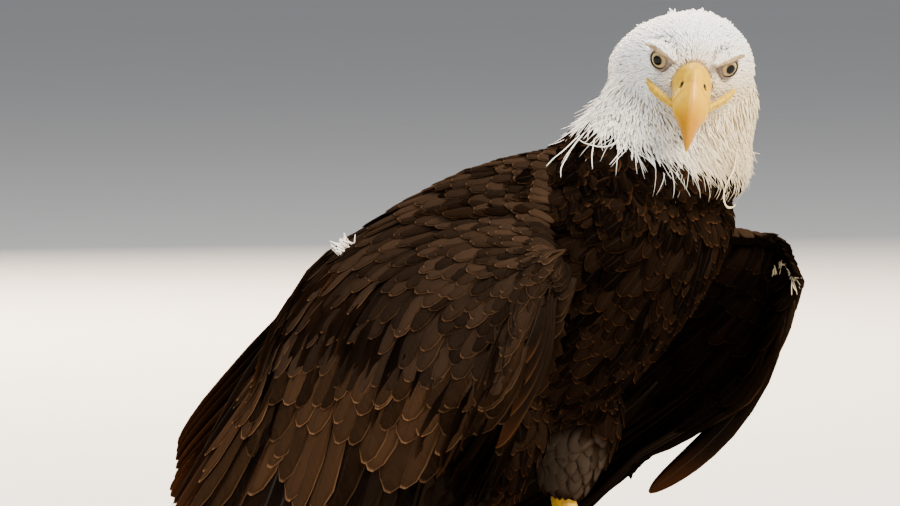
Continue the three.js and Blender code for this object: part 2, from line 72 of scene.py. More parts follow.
# Head from face to nape, in its own frame: y, half width, top, bottom.
HEAD = [
    (-43, 12.5, 8, -18), (-37, 17.5, 13.5, -25), (-28, 23.5, 20, -33), (-18, 31, 24.5, -39.5),
    (-6, 40.5, 26, -45), (8, 46.5, 25.2, -51), (24, 47.5, 21, -53), (38, 41, 14, -49),
    (50, 22, -4, -36),
]
CROWN_RIDGE = 0.12
THIGH_PATH = [[44, 22, 150], [47, 13, 122], [47, 14, 94], [44, 19, 64]]
THIGH_RADII = [33, 38, 29, 14]

# Bill, cere and lower bill in the head's frame: [culmen y, z], [cutting edge y, z], half width,
# and how much narrower the section is at its ridge.
CERE = [
    ([-36, 7], [-34.5, -15], 12.6, 0.2), ([-45, 11.2], [-43.5, -15.2], 11.4, 0.35),
    ([-53, 12], [-51, -15.5], 10, 0.55), ([-59.5, 10.1], [-57, -16.3], 9.5, 0.75),
    ([-63.5, 8.4], [-60.2, -16.6], 9.3, 0.8),
]
BILL = [
    ([-59.5, 8.6], [-55.3, -16], 8.2, 0.75), ([-63.5, 8.2], [-59.5, -16.7], 9.1, 0.8),
    ([-68, 5.9], [-64.5, -17.6], 9.6, 0.75), ([-75.5, -0.5], [-70.5, -19.6], 9.4, 0.6),
    ([-81.3, -8], [-75, -21.8], 7.3, 0.45), ([-85.5, -16], [-78.5, -24.3], 5.2, 0.3),
    ([-87.8, -23.5], [-82.3, -28], 3.2, 0.2), ([-88.2, -29], [-85.2, -31], 1.8, 0),
    ([-87.4, -33], [-86.6, -33.6], 0.6, 0),
]
LOWER_BILL = [
    ([-34, -16.2], [-33, -27.5], 12.8, 0), ([-48, -16.4], [-48, -26.6], 10.8, 0),
    ([-59, -17.6], [-59, -25.8], 8.6, 0), ([-66.5, -19.6], [-66, -25], 5.2, 0),
    ([-71, -22], [-70.5, -24], 1.7, 0),
]
NOSTRIL = [7.3, -58.5, 0.6]
BROW = [[13.5, -41.5, 8.5], [20.6, -35, 10.6], [27.5, -27, 11.4], [32, -18.5, 9.6]]
BROW_RADII = [0.5, 1.5, 1.9, 0.9]
GAPE = [[9.5, -57, -16.2], [18, -43.5, -15.8], [24, -34, -15], [28.5, -25, -13.2]]
GAPE_RADII = [1.1, 1.6, 1.7, 0.8]

# Wings: ribs from the leading edge to the feather tips, from the back outwards by elbow and
# wrist to the outermost primary, on the outer surface.
RIGHT_RIBS = [
    [[-36, -40, 305], [-37, 30, 290], [-37, 96, 257], [-37, 148, 225], [-42, 187, 190],
     [-52, 211, 150], [-62, 228, 110]],
    [[-62, -38, 300], [-70, 16, 287], [-74, 80, 259], [-90, 126, 222], [-118, 140, 182],
     [-142, 142, 142], [-153, 160, 104], [-156, 190, 62], [-154, 232, 6]],
    [[-90, -44, 266], [-108, 10, 254], [-122, 62, 228], [-143, 84, 188], [-157, 95, 143],
     [-164, 106, 103], [-165, 122, 62], [-160, 156, 5]],
    [[-118, -64, 246], [-142, -24, 232], [-159, 4, 200], [-168, 17, 154], [-170, 31, 108],
     [-167, 48, 66], [-161, 82, 5]],
    [[-148, -86, 237], [-160, -78, 206], [-163, -60, 158], [-151, -18, 98], [-139, 6, 58],
     [-120, 50, 14], [-112, 92, 5]],
    [[-147, -97, 210], [-136, -80, 176], [-116, -51, 137], [-82, 3, 67], [-64, 42, 24],
     [-48, 110, 6], [-32, 236, 5]],
]
LEFT_RIBS = [
    [[36, -40, 307], [32, 30, 297], [22, 98, 269], [6, 156, 232], [-6, 204, 188],
     [-8, 244, 146], [-8, 296, 92]],
    [[62, -38, 300], [68, 22, 286], [60, 98, 258], [42, 164, 216], [26, 220, 162],
     [15, 270, 112], [12, 312, 72]],
    [[90, -46, 266], [107, 20, 251], [100, 96, 224], [80, 166, 181], [58, 236, 128],
     [44, 296, 76], [40, 328, 46]],
    [[118, -66, 247], [144, -14, 232], [154, 50, 196], [146, 120, 142], [124, 196, 84],
     [102, 262, 38], [88, 308, 14]],
    [[150, -90, 236], [164, -78, 200], [163, -46, 158], [148, 14, 98], [128, 90, 48],
     [108, 158, 18], [92, 240, 5]],
    [[147, -107, 208], [145, -92, 168], [136, -72, 130], [119, -40, 104], [98, -12, 84],
     [76, 24, 44], [58, 84, 14], [44, 150, 6], [30, 256, 5]],
]
OUTER_RIB = 5
ARM_THICKNESSES = [14, 20, 24, 21, 14, 11]
RIGHT_ALULA = [[-148, -92, 214], [-153, -85, 188], [-149, -70, 161], [-139, -51, 137], [-127, -33, 113]]
LEFT_ALULA = [[145, -96, 178], [141, -84, 152], [135, -60, 116], [127, -34, 89], [113, -8, 66]]

# Tail: [y, z, half width] of its top surface.
TAIL = [
    [186, 108, 27], [230, 80, 37], [290, 48, 49], [350, 20, 60], [392, 4.6, 66], [422, 3.4, 66],
]

# Pale down between the thighs: its middle, and its colour, a dim buff that is painted shade on the pale down.
BELLY_PATCH = [26, 4, 88]
BELLY_SHADED_COLOUR = (0.034, 0.0235, 0.016)

# The camera's aim, azimuth, elevation, distance and lens, and how far the floor reaches.
VIEW_CENTRE = [0, 78.6, 229]
CAMERA_PLACE = (-58, 3, 5.0)
LENS = 300
FLOOR_REACH = 60

# ---- frame and arithmetic


def mm(values):
    """Millimetres as metres, as an array."""
    return np.asarray(values, float) / 1000


def plan_origin():
    """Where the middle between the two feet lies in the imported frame: halfway between the
    tarsi, one foot radius behind the foremost point of their feet."""
    boxes = [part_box("leg_left_tarsus"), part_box("leg_right_tarsus")]
    x = sum(low.x + high.x for low, high in boxes) / 4
    y = boxes[0][0].y + FOOT_RADIUS / 1000
    return np.array([x, y, 0.0])


ORIGIN = plan_origin()


def plan(points):
    """Points of the bird's own plan, in millimetres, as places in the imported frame."""
    return mm(points) + ORIGIN


def turning(axis, degrees):
    """Rotation matrix about one of the three axes."""
    c, s = math.cos(math.radians(degrees)), math.sin(math.radians(degrees))
    i, j = (axis + 1) % 3, (axis + 2) % 3
    matrix = np.eye(3)
    matrix[i, i] = matrix[j, j] = c
    matrix[i, j] = -s
    matrix[j, i] = s
    return matrix


HEAD_ROTATION = turning(2, -HEAD_TURN) @ turning(0, HEAD_DIP) @ turning(1, HEAD_ROLL)


def head(points):
    """Points of the head's own frame, in millimetres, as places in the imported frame."""
    return mm(np.asarray(points, float) @ HEAD_ROTATION.T + HEAD_CENTRE) + ORIGIN


def head_direction(vectors):
    return np.asarray(vectors, float) @ HEAD_ROTATION.T


def unit(v):
    return v / np.maximum(np.linalg.norm(v, axis=-1, keepdims=True), 1e-12)


def level(v, up):
    """Directions laid flat on the surface that has the up vectors."""
    return unit(v - up * (v * up).sum(1, keepdims=True))


def smoothstep(low, high, x):
    t = np.clip((x - low) / (high - low), 0, 1)
    return t * t * (3 - 2 * t)


def lerp(a, b, t):
    return a + (b - a) * t


def extended(points):
    """The points with one more before and after them, each mirrored through the end."""
    p = np.asarray(points, float)
    return np.concatenate([[2 * p[0] - p[1]], p, [2 * p[-1] - p[-2]]])


def spline(points, t):
    """Uniform Catmull-Rom through the rows of points, read at t from 0 to 1."""
    p = extended(points)
    s = np.clip(np.asarray(t, float), 0, 1) * (len(p) - 3)
    i = np.minimum(s.astype(int), len(p) - 4)
    f = (s - i).reshape(s.shape + (1,) * (p.ndim - 1))
    a, b, c, d = p[i], p[i + 1], p[i + 2], p[i + 3]
    return b + 0.5 * f * (c - a + f * (2 * a - 5 * b + 4 * c - d + f * (3 * (b - c) + d - a)))


def even(points, count):
    """The polyline read again at count places that are evenly spaced along its length."""
    steps = np.linalg.norm(np.diff(points, axis=0), axis=1)
    length = np.concatenate([[0], np.cumsum(steps)])
    at = np.linspace(0, length[-1], count)
    return np.stack([np.interp(at, length, points[:, k]) for k in range(points.shape[1])], 1)


def rib(points, count):
    """A centripetal Catmull-Rom curve through the points, evenly spaced: on each span a cubic
    whose tangents weigh both neighbours by the square root of their distance."""
    p = extended(points)
    a, b, c, d = p[:-3], p[1:-2], p[2:-1], p[3:]
    d0, d1, d2 = (np.sqrt(np.linalg.norm(v, axis=1))[:, None] for v in (b - a, c - b, d - c))
    t1 = d1 * ((b - a) / d0 - (c - a) / (d0 + d1) + (c - b) / d1)
    t2 = d1 * ((c - b) / d1 - (d - b) / (d1 + d2) + (d - c) / d2)
    t = np.linspace(0, 1, 40)[:, None, None]
    cubic = b + t * t1 + t**2 * (-3 * b + 3 * c - 2 * t1 - t2) + t**3 * (2 * b - 2 * c + t1 + t2)
    return even(cubic.transpose(1, 0, 2).reshape(-1, 3), count)


class Sheet:
    """A surface as a dense grid of places: the first axis runs across the lie of the feathers,
    the second one along it, each read from 0 to 1. The normals point away from the bird."""

    def __init__(self, grid, sign):
        self.grid = grid
        across = np.gradient(grid, axis=0)
        self.along = np.gradient(grid, axis=1)
        self.normals = unit(np.cross(across, self.along)) * sign
        self.lengths = np.linalg.norm(np.diff(grid, axis=1), axis=2).sum(1)

    def read(self, field, a, b):
        """Bilinear reading of a field on the grid."""
        rows, columns = field.shape[:2]
        x = np.clip(a, 0, 1) * (rows - 1)
        y = np.clip(b, 0, 1) * (columns - 1)
        i = np.minimum(x.astype(int), rows - 2)
        j = np.minimum(y.astype(int), columns - 2)
        fx, fy = (x - i)[..., None], (y - j)[..., None]
        near = field[i, j] * (1 - fy) + field[i, j + 1] * fy
        far = field[i + 1, j] * (1 - fy) + field[i + 1, j + 1] * fy
        return near * (1 - fx) + far * fx

    def point(self, a, b):
        return self.read(self.grid, a, b)

    def normal(self, a, b):
        return unit(self.read(self.normals, a, b))

    def lie(self, a, b):
        return unit(self.read(self.along, a, b))

    def length(self, a):
        return np.interp(a, np.linspace(0, 1, len(self.lengths)), self.lengths)


def ring_sheet(rings, sides, squareness=2, ridge=0, flip=False):
    """Rings about a line from top to bottom: an ellipse, or a superellipse where the
    squareness is over 2. rings hold top, bottom and the half-width vector of each ring, which
    is narrower at the top, and wider below, by the ridge's share."""
    angle = np.linspace(0, 2 * np.pi, sides)[:, None, None]
    c, s = np.cos(angle), np.sin(angle)
    power = 2 / squareness
    up, side = np.sign(c) * np.abs(c) ** power, np.sign(s) * np.abs(s) ** power
    top, bottom, wide = rings
    grid = (top + bottom) / 2 + (top - bottom) / 2 * up + wide * side * (1 - ridge * up)
    return grid[:, ::-1] if flip else grid


def profile_rings(sections, count):
    """Tops, bottoms and half widths of a row of upright sections, splined to count rings."""
    rows = [[*top, *bottom, wide] for top, bottom, wide, *_ in sections]
    r = spline(rows, np.linspace(0, 1, count))
    zero = np.zeros(count)
    return (
        np.stack([zero, r[:, 0], r[:, 1]], 1),
        np.stack([zero, r[:, 2], r[:, 3]], 1),
        np.stack([r[:, 4], zero, zero], 1),
    )


def trunk_sheet():
    grid = ring_sheet(profile_rings(TRUNK, 121), 145)
    return Sheet(plan(grid), 1)


def neck_sheet():
    """Rings of the neck, from the top down: ellipses that turn with the head."""
    rows = [[*centre, wide, deep, turn] for centre, wide, deep, turn in NECK]
    x, y, z, wide, deep, turn = spline(rows, np.linspace(0, 1, 101)).T
    turn = -np.radians(turn)
    centre = np.stack([x, y, z], 1)
    back = np.stack([-np.sin(turn) * deep, np.cos(turn) * deep, 0.12 * deep], 1)
    side = np.stack([np.cos(turn) * wide, np.sin(turn) * wide, 0 * wide], 1)
    grid = ring_sheet((centre + back, centre - back, side), 145, flip=True)
    return Sheet(plan(grid), 1)


def head_sheet():
    """Rings of the head: narrower at the crown, the back of the skull drawn to its right and
    its crown back to the left, as on a turned neck."""
    sections = [([y, top], [y, bottom], wide) for y, wide, top, bottom in HEAD]
    grid = ring_sheet(profile_rings(sections, 101), 145, ridge=CROWN_RIDGE)
    share = smoothstep(-10, 24, grid[..., 1])
    x, z = grid[..., 0].copy(), grid[..., 2].copy()
    grid[..., 0] += share * (0.18 * z - 4.5)
    grid[..., 2] += share * (0.06 * x - 1.3)
    return Sheet(head(grid), 1)


def bar(path, radii, count):
    """A round bar along a splined path: its places, its radii, and two directions across it,
    the first one as near to the bird's left as it can lie."""
    t = np.linspace(0, 1, count)
    line = spline(path, t)
    tangent = unit(np.gradient(line, axis=0))
    across = unit(np.array([1.0, 0, 0]) - tangent * tangent[:, :1])
    return line, spline(np.array(radii, float)[:, None], t), across, np.cross(tangent, across)


def thigh_sheet(side):
    line, radius, across, over = bar(np.array(THIGH_PATH) * [side, 1, 1], THIGH_RADII, 61)
    return Sheet(plan(ring_sheet((line + over * radius, line - over * radius, across * radius), 73)), 1)


def wing_sheet(ribs, side):
    """The wing's outer surface: even ribs joined across by a uniform spline."""
    lines = np.array([rib(points, 121) for points in ribs])
    grid = spline(lines, np.linspace(0, 1, 101))
    grid[..., 2] = np.maximum(grid[..., 2], 3)
    return Sheet(plan(grid), side)


def softened(normals, reach):
    """Normals of a sheet, each the mean over its neighbours within the reach."""
    for axis in (0, 1):
        pads = [(reach, reach) if k == axis else (0, 0) for k in range(3)]
        padded = np.pad(normals, pads, mode="edge")
        size = normals.shape[axis]
        normals = sum(np.take(padded, range(k, k + size), axis) for k in range(2 * reach + 1))
    return unit(normals)


def wing_depth(a, b):
    """Depth of the arm under the outer surface: full behind the leading edge, thin vanes after."""
    fleshy = 1 - smoothstep(0.08, 0.44, b)
    edge = np.sqrt(np.minimum(1, 0.06 + b / 0.05))
    arm = np.interp(a * OUTER_RIB, np.arange(OUTER_RIB + 1), ARM_THICKNESSES)
    vane = lerp(3.0, 1.6, b)
    return mm((vane + (arm - vane) * fleshy) * edge)


def under_sheet(outer, side):
    """The wing's inner surface: the outer one set in by the arm's depth."""
    rows, columns = outer.grid.shape[:2]
    a, b = np.meshgrid(np.linspace(0, 1, rows), np.linspace(0, 1, columns), indexing="ij")
    grid = outer.grid - outer.normals * wing_depth(a, b)[..., None]
    grid[..., 2] = np.maximum(grid[..., 2], 0.0004)
    return Sheet(grid, -side)


# ---- meshes


def put_mesh(name, points, quads, triangles=()):
    """A mesh object from arrays of places, four-sided and three-sided faces."""
    mesh = bpy.data.meshes.new(name)
    quads = np.asarray(quads, np.int64).reshape(-1, 4)
    triangles = np.asarray(triangles, np.int64).reshape(-1, 3)
    corners = np.concatenate([quads.ravel(), triangles.ravel()])
    sizes = np.concatenate([np.full(len(quads), 4), np.full(len(triangles), 3)])
    starts = np.concatenate([[0], np.cumsum(sizes)[:-1]])
    mesh.vertices.add(len(points))
    mesh.vertices.foreach_set("co", np.asarray(points, np.float32).ravel())
    mesh.loops.add(len(corners))
    mesh.loops.foreach_set("vertex_index", corners.astype(np.int32))
    mesh.polygons.add(len(sizes))
    mesh.polygons.foreach_set("loop_start", starts.astype(np.int32))
    mesh.update(calc_edges=True)
    mesh.polygons.foreach_set("use_smooth", np.full(len(sizes), True))
    mesh.validate()
    obj = bpy.data.objects.new(name, mesh)
    bpy.context.scene.collection.objects.link(obj)
    return obj


def mark(obj, name, values):
    """An attribute of the points: a number for each, or a vector for each."""
    values = np.asarray(values, np.float32).ravel()
    single = len(values) == len(obj.data.vertices)
    attribute = obj.data.attributes.new(name, "FLOAT" if single else "FLOAT_VECTOR", "POINT")
    attribute.data.foreach_set("value" if single else "vector", values)


def read_all(items, field, width, kind=np.float32):
    """A field of all items of a mesh, as a row for each."""
    values = np.zeros(len(items) * width, kind)
    items.foreach_get(field, values)
    return values.reshape(-1, width)


def add_bake_map(obj, per_point):
    """The OFBake map from a place for each point."""
    layer = obj.data.uv_layers.new(name="OFBake")
    corner = read_all(obj.data.loops, "vertex_index", 1, np.int32)[:, 0]
    layer.data.foreach_set("uv", np.clip(per_point[corner], 0.001, 0.999).astype(np.float32).ravel())


def finish_piece(obj, look, *nodes):
    """Gives the piece the material of its look, which is a material and a slot, and hides the nodes it stands
    for; the slot is not used.
    """
    material, slot = look
    obj.data.materials.append(material)
    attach(obj, "root")
    if nodes:
        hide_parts(*nodes)
    return obj


def ring_faces(rings, sides, loop=False):
    """Four-sided faces between rings of sides, which also close end to end in a loop."""
    i, j = np.meshgrid(np.arange(rings if loop else rings - 1), np.arange(sides), indexing="ij")
    row, next_row, k = i * sides, (i + 1) % rings * sides, (j + 1) % sides
    return np.stack([row + j, row + k, next_row + k, next_row + j], -1).reshape(-1, 4)


def closed_rings(grid):
    """Faces of a grid whose first axis closes on itself and whose ends close on a hub each.
    grid is rings x sides x 3. Returns the places, quads and triangles."""
    rings, sides = grid.shape[:2]
    points = np.concatenate([grid.reshape(-1, 3), [grid[0].mean(0)], [grid[-1].mean(0)]])
    j = np.arange(sides)
    k = (j + 1) % sides
    first, last = rings * sides + 0 * j, rings * sides + 1 + 0 * j
    near = np.stack([first, k, j], 1)
    far = np.stack([last, (rings - 1) * sides + j, (rings - 1) * sides + k], 1)
    return points, ring_faces(rings, sides), np.concatenate([near, far])


def outward(points, quads, triangles=np.zeros((0, 3), int)):
    """The faces turned to point out, by the signed volume of the body that they close."""
    fan = np.concatenate([quads[:, [0, 1, 2]], quads[:, [0, 2, 3]], triangles])
    a, b, c = (points - points.mean(0))[fan].transpose(1, 0, 2)
    order = -1 if np.einsum("ij,ij->", a, np.cross(b, c)) < 0 else 1
    return quads[:, ::order], triangles[:, ::order]


def gathered(rows):
    """The parts of many rows, each part joined to one array."""
    return [np.concatenate(part) for part in zip(*rows)]


def tube_piece(name, *grids):
    """Closed bodies of rings x sides x 3 as one mesh."""
    bodies, start = [], 0
    for grid in grids:
        points, quads, triangles = closed_rings(grid)
        quads, triangles = outward(points, quads, triangles)
        bodies.append((points, quads + start, triangles + start))
        start += len(points)
    return put_mesh(name, *gathered(bodies))


def circle(count):
    """Angles of a ring, as one row."""
    return np.linspace(0, 2 * np.pi, count, endpoint=False)[None]


def ringed(line, across, over, wide, tall, angle):
    """Rings about a line: place = line + across * wide * cosine + over * tall * sine."""
    across, over = (np.reshape(way, (-1, 1, 3)) for way in (across, over))
    return line + across * (wide * np.cos(angle))[..., None] + over * (tall * np.sin(angle))[..., None]


# Cross sections of a feather as (across, height): across runs from -1 to 1 over the top and
# back underneath, and height is in thicknesses.
BLADE = [(-1, 0), (0, 1), (1, 0)]
TUFT = [(-1, 0), (0, 1), (1, 0), (0, -0.4)]
COVERT = [(-1, 0), (-0.55, 0.6), (0, 1), (0.55, 0.6), (1, 0), (0, -0.6)]
QUILL = [
    (-1, 0), (-0.72, 0.25), (-0.4, 0.35), (-0.06, 0.45), (0, 1.2), (0.06, 0.45), (0.4, 0.35),
    (0.72, 0.25), (1, 0), (0.5, -0.3), (0, -0.9), (-0.5, -0.3),
]
RIM_WIDTH = 0.004
FEATHER_FLOOR = 0.0003
TONE_SPREAD = 7.3
END_THINNING = 0.3
TIP_RIM = 0.8


def vanes(name, look, spine, up, half, section, thick, camber, roll, tone, root_uv, patch=0.003, rag=0.0,
          nodes=()):
    """Many closed feathers as one mesh. Each ring of a feather is the section laid across the
    spine: place = spine + side * half * across + up * (thick * height - camber * half *
    across squared), with side and up turned about the spine by the roll.
    spine and up are feathers x stations x 3, half is feathers x stations."""
    n, k = half.shape
    across, height = np.array(section, float).T
    m = len(across)
    tangent = unit(np.gradient(spine, axis=1))
    side = unit(np.cross(tangent, up))
    up = np.cross(side, tangent)
    roll = np.reshape(roll, (-1, 1, 1))
    side, up = side * np.cos(roll) + up * np.sin(roll), up * np.cos(roll) - side * np.sin(roll)
    rough = RNG.normal(0, rag, (n, k, m)) * (np.abs(across) == 1)
    aside = half[..., None] * across
    thin = thick * np.minimum(1, half / (END_THINNING * half.max(1, keepdims=True)))
    rise = thin[..., None] * height - camber * half[..., None] * across**2
    points = spine[:, :, None] + side[:, :, None] * (aside * (1 + rough))[..., None]
    points = points + up[:, :, None] * rise[..., None]
    points[..., 2] = np.maximum(points[..., 2], FEATHER_FLOOR)
    fan = np.arange(1, m - 1)
    near = np.stack([0 * fan, fan, fan + 1], 1)
    far = np.stack([0 * fan, fan + 1, fan], 1) + (k - 1) * m
    faces = outward(points[0].reshape(-1, 3), ring_faces(k, m)[:, [0, 3, 2, 1]], np.concatenate([near, far]))
    base = (np.arange(n) * k * m)[:, None, None]
    quads, triangles = (base + face for face in faces)
    obj = put_mesh(name, points.reshape(-1, 3), quads, triangles)
    step = np.linalg.norm(np.diff(spine, axis=1), axis=2)
    run = np.concatenate([np.zeros((n, 1)), np.cumsum(step, 1)], 1)
    rim = np.minimum(half[..., None] * (1 - np.abs(across)), (run[:, -1:] - run)[..., None] * TIP_RIM)
    aside, along, share, tone, across = np.broadcast_arrays(
        aside, run[..., None], (run / run[:, -1:])[..., None], np.reshape(tone, (-1, 1, 1)), across)
    mark(obj, "barb", np.stack([aside, along, tone * TONE_SPREAD], -1))
    mark(obj, "vane", np.stack([across, share, np.minimum(rim / RIM_WIDTH, 1)], -1))
    mark(obj, "tone", tone)
    spread = np.stack([across, share * 2 - 1], -1) * patch / 2
    add_bake_map(obj, (np.reshape(root_uv, (n, 1, 1, 2)) + spread).reshape(-1, 2))
    return finish_piece(obj, look, *nodes)


def outline(v, tip_start, power, root_start=0.25, root_width=0.45, blunt=0.1):
    """Share of the full half width along a feather: it swells from its root, stays full, and
    rounds off to the tip as the root of 1 less a power."""
    swell = root_width + (1 - root_width) * smoothstep(0, root_start, v)
    past = np.clip((v - tip_start) / (1 - tip_start), 0, 1)
    return swell * np.maximum((1 - past**power) ** 0.5, blunt)


# ---- finishes


def opaque(colour):
    return (*colour, 1) if isinstance(colour, tuple) else colour


class Finish:
    """A material under construction: nodes are added by kind and joined by name."""

    def __init__(self, name):
        self.material = bpy.data.materials.new(name)
        self.material.use_nodes = True
        self.tree = self.material.node_tree
        self.shader = self.tree.nodes["Principled BSDF"]

    def feed(self, sockets, inputs):
        for key, value in inputs.items():
            if isinstance(value, bpy.types.NodeSocket):
                self.tree.links.new(value, sockets[key])
            else:
                sockets[key].default_value = value

    def node(self, kind, inputs=(), **settings):
        made = self.tree.nodes.new("ShaderNode" + kind)
        for key, value in settings.items():
            setattr(made, key, value)
        self.feed(made.inputs, dict(inputs))
        return made

    def read(self, name, output="Fac"):
        return self.node("Attribute", attribute_name=name).outputs[output]

    def split(self, vector):
        return self.node("SeparateXYZ", {0: vector}).outputs

    def math(self, operation, a, b=0.0, c=0.0):
        return self.node("Math", {0: a, 1: b, 2: c}, operation=operation).outputs[0]

    def times(self, a, b):
        return self.math("MULTIPLY", a, b)

    def ramp(self, value, low, high, out_low=0.0, out_high=1.0):
        inputs = {0: value, 1: low, 2: high, 3: out_low, 4: out_high}
        return self.node("MapRange", inputs, interpolation_type="SMOOTHSTEP").outputs[0]

    def mix(self, factor, a, b):
        return self.node("Mix", {0: factor, 6: opaque(a), 7: opaque(b)}, data_type="RGBA").outputs[2]

    def noise(self, vector, scale, detail=3.0, roughness=0.5):
        inputs = {"Vector": vector, "Scale": scale, "Detail": detail, "Roughness": roughness}
        return self.node("TexNoise", inputs).outputs[0]

    def place(self):
        return self.node("TexCoord").outputs["Object"]

    def distance(self, place):
        return self.node("VectorMath", {0: self.place(), 1: tuple(place)}, operation="DISTANCE").outputs[1]

    def stretch(self, vector, scale):
        return self.node("Mapping", {"Vector": vector, "Scale": scale}).outputs[0]

    def bump(self, height, strength, distance):
        made = self.node("Bump", {"Height": height, "Strength": strength, "Distance": distance})
        self.feed(self.shader.inputs, {"Normal": made.outputs[0]})

    def set(self, **values):
        self.feed(self.shader.inputs, {key.replace("_", " "): value for key, value in values.items()})
        return self.material


def barb_marks(f):
    """Fine barbs that leave the shaft aslant: noise that is drawn out along their direction,
    in metres across and along the feather. Returns streaks, the feather's tone, its share
    along, half widths from its shaft, its rim share, and metres from its shaft."""
    x, y, random = f.split(f.read("barb", "Vector"))
    out = f.math("ABSOLUTE", x)
    slant = f.math("MULTIPLY_ADD", out, -1.1, y)
    lines = f.node("CombineXYZ", {0: f.times(slant, 2600), 1: f.times(out, 90), 2: random})
    across, share, rim = f.split(f.read("vane", "Vector"))
    return f.noise(lines.outputs[0], 1.0, 2.0), f.read("tone"), share, f.math("ABSOLUTE", across), rim, out


def belly_patch(f, tone):
    """Share of the pale down between the thighs, its border ragged by the feathers' tone."""
    near = f.distance(plan(BELLY_PATCH))
    return f.ramp(f.math("MULTIPLY_ADD", tone, 0.012, near), 0.036, 0.026)


def dark_plumage(name, deep, brown, edge, rim_reach, gloss, quill=(0.012, 0.008, 0.006), painted_backlight_share=0.0):
    """Dark feathers: deep brown to warmer brown by tone and barbs, with a paler rim, a warm painted
    glow of backlight towards the tips, and the pale patch of the belly in a dim buff that is painted shade."""
    f = Finish(name)
    streaks, tone, share, aside, rim, _ = barb_marks(f)
    lift = f.math("ADD", f.times(streaks, 0.5), f.times(tone, 0.55))
    colour = f.mix(f.ramp(lift, 0.25, 0.85), deep, brown)
    worn = f.times(f.ramp(rim, rim_reach, 0.0), f.ramp(share, 0.35, 0.95))
    colour = f.mix(f.times(worn, f.ramp(tone, 0.0, 1.0, 0.15, 0.9)), colour, edge)
    colour = f.mix(f.ramp(aside, 0.07, 0.02, 0.0, 0.5), colour, quill)
    # Painted light: a warm rufous glow towards the tips that stands in for backlight shining through them.
    painted_backlight = f.times(f.ramp(share, 0.6, 1.0), f.ramp(tone, 0.1, 0.6, 0.2 * painted_backlight_share, painted_backlight_share))
    colour = f.mix(painted_backlight, colour, (0.050, 0.0165, 0.0050))
    # The belly's pale down, its dim buff colour partly painted shade.
    colour = f.mix(belly_patch(f, tone), colour, BELLY_SHADED_COLOUR)
    f.bump(streaks, 0.5, 0.0004)
    return f.set(Base_Color=colour, Roughness=gloss, Specular_IOR_Level=0.0), "dark_plumage"


# Direction from the head's middle to its shaded side.
SHADED_WAY = (0.53, -0.85, 0)


def white_plumage():
    """White hackles: off-white, warmer to the tips, with a warm painted shade low on the head's shaded side,
    and greyer barbs, bases and edges: the bases partly, and the edges wholly, painted shade where feathers
    overlap."""
    f = Finish("white_hackles")
    streaks, tone, share, aside, _, out = barb_marks(f)
    colour = f.mix(f.ramp(streaks, 0.3, 0.7), (0.82, 0.81, 0.79), (0.95, 0.945, 0.93))
    colour = f.mix(f.ramp(tone, 0.5, 1.0, 0.0, 0.3), colour, (0.84, 0.78, 0.64))
    place = f.place()
    middle = head([0, 0, 0])
    toward = f.node("VectorMath", {0: place, 1: SHADED_WAY}, operation="DOT_PRODUCT").outputs[1]
    start = float(middle @ SHADED_WAY)
    # Painted shade: the lower part of the head's shaded side is tinted warm tan.
    left = f.ramp(toward, start - 0.035, start + 0.025, 0.35, 1.0)
    low = f.ramp(f.split(place)[2], float(middle[2]) + 0.018, float(middle[2]) - 0.030)
    colour = f.mix(f.times(f.times(left, low), 0.9), colour, (0.68, 0.53, 0.29))
    face = f.distance(head([0, -43, -3]))
    colour = f.mix(f.ramp(face, 0.036, 0.016, 0.0, 0.5), colour, (0.62, 0.46, 0.28))
    # Greyer bases: partly their own grey, partly painted shade under the overlapping tufts.
    colour = f.mix(f.ramp(share, 0.4, 0.0, 0.0, 0.35), colour, (0.50, 0.47, 0.42))
    colour = f.mix(f.ramp(aside, 0.05, 0.02, 0.0, 0.35), colour, (0.48, 0.42, 0.34))
    # Painted shade: greyer edges far from the shaft, where the wide tail feathers overlap.
    colour = f.mix(f.ramp(out, 0.0075, 0.0150, 0.0, 0.55), colour, (0.40, 0.37, 0.33))
    colour = f.mix(f.ramp(tone, 0.012, 0.008), colour, (0.20, 0.155, 0.12))
    f.bump(streaks, 0.25, 0.0003)
    white = f.set(
        Base_Color=colour, Roughness=0.65, Specular_IOR_Level=0.15, Subsurface_Weight=0.25,
        Subsurface_Radius=(0.003, 0.0026, 0.002), Subsurface_Scale=0.5)
    return white, "white_plumage"


def plumage_skin():
    """Skin and down under the coat, with the coat's own markings: white hood, dark body."""
    f = Finish("plumage_skin")
    grain = f.noise(f.stretch(f.place(), (1, 1, 0.4)), 420, 4.0)
    hood = f.mix(grain, (0.70, 0.66, 0.58), (0.84, 0.80, 0.73))
    body = f.mix(grain, (0.0015, 0.001, 0.0008), (0.005, 0.003, 0.002))
    # The belly's pale down under the coat, its dim buff colour partly painted shade.
    body = f.mix(belly_patch(f, 0.5), body, BELLY_SHADED_COLOUR)
    colour = f.mix(f.read("white"), body, hood)
    f.bump(grain, 0.6, 0.0012)
    return f.set(Base_Color=colour, Roughness=0.9, Specular_IOR_Level=0.0), "dark_plumage"


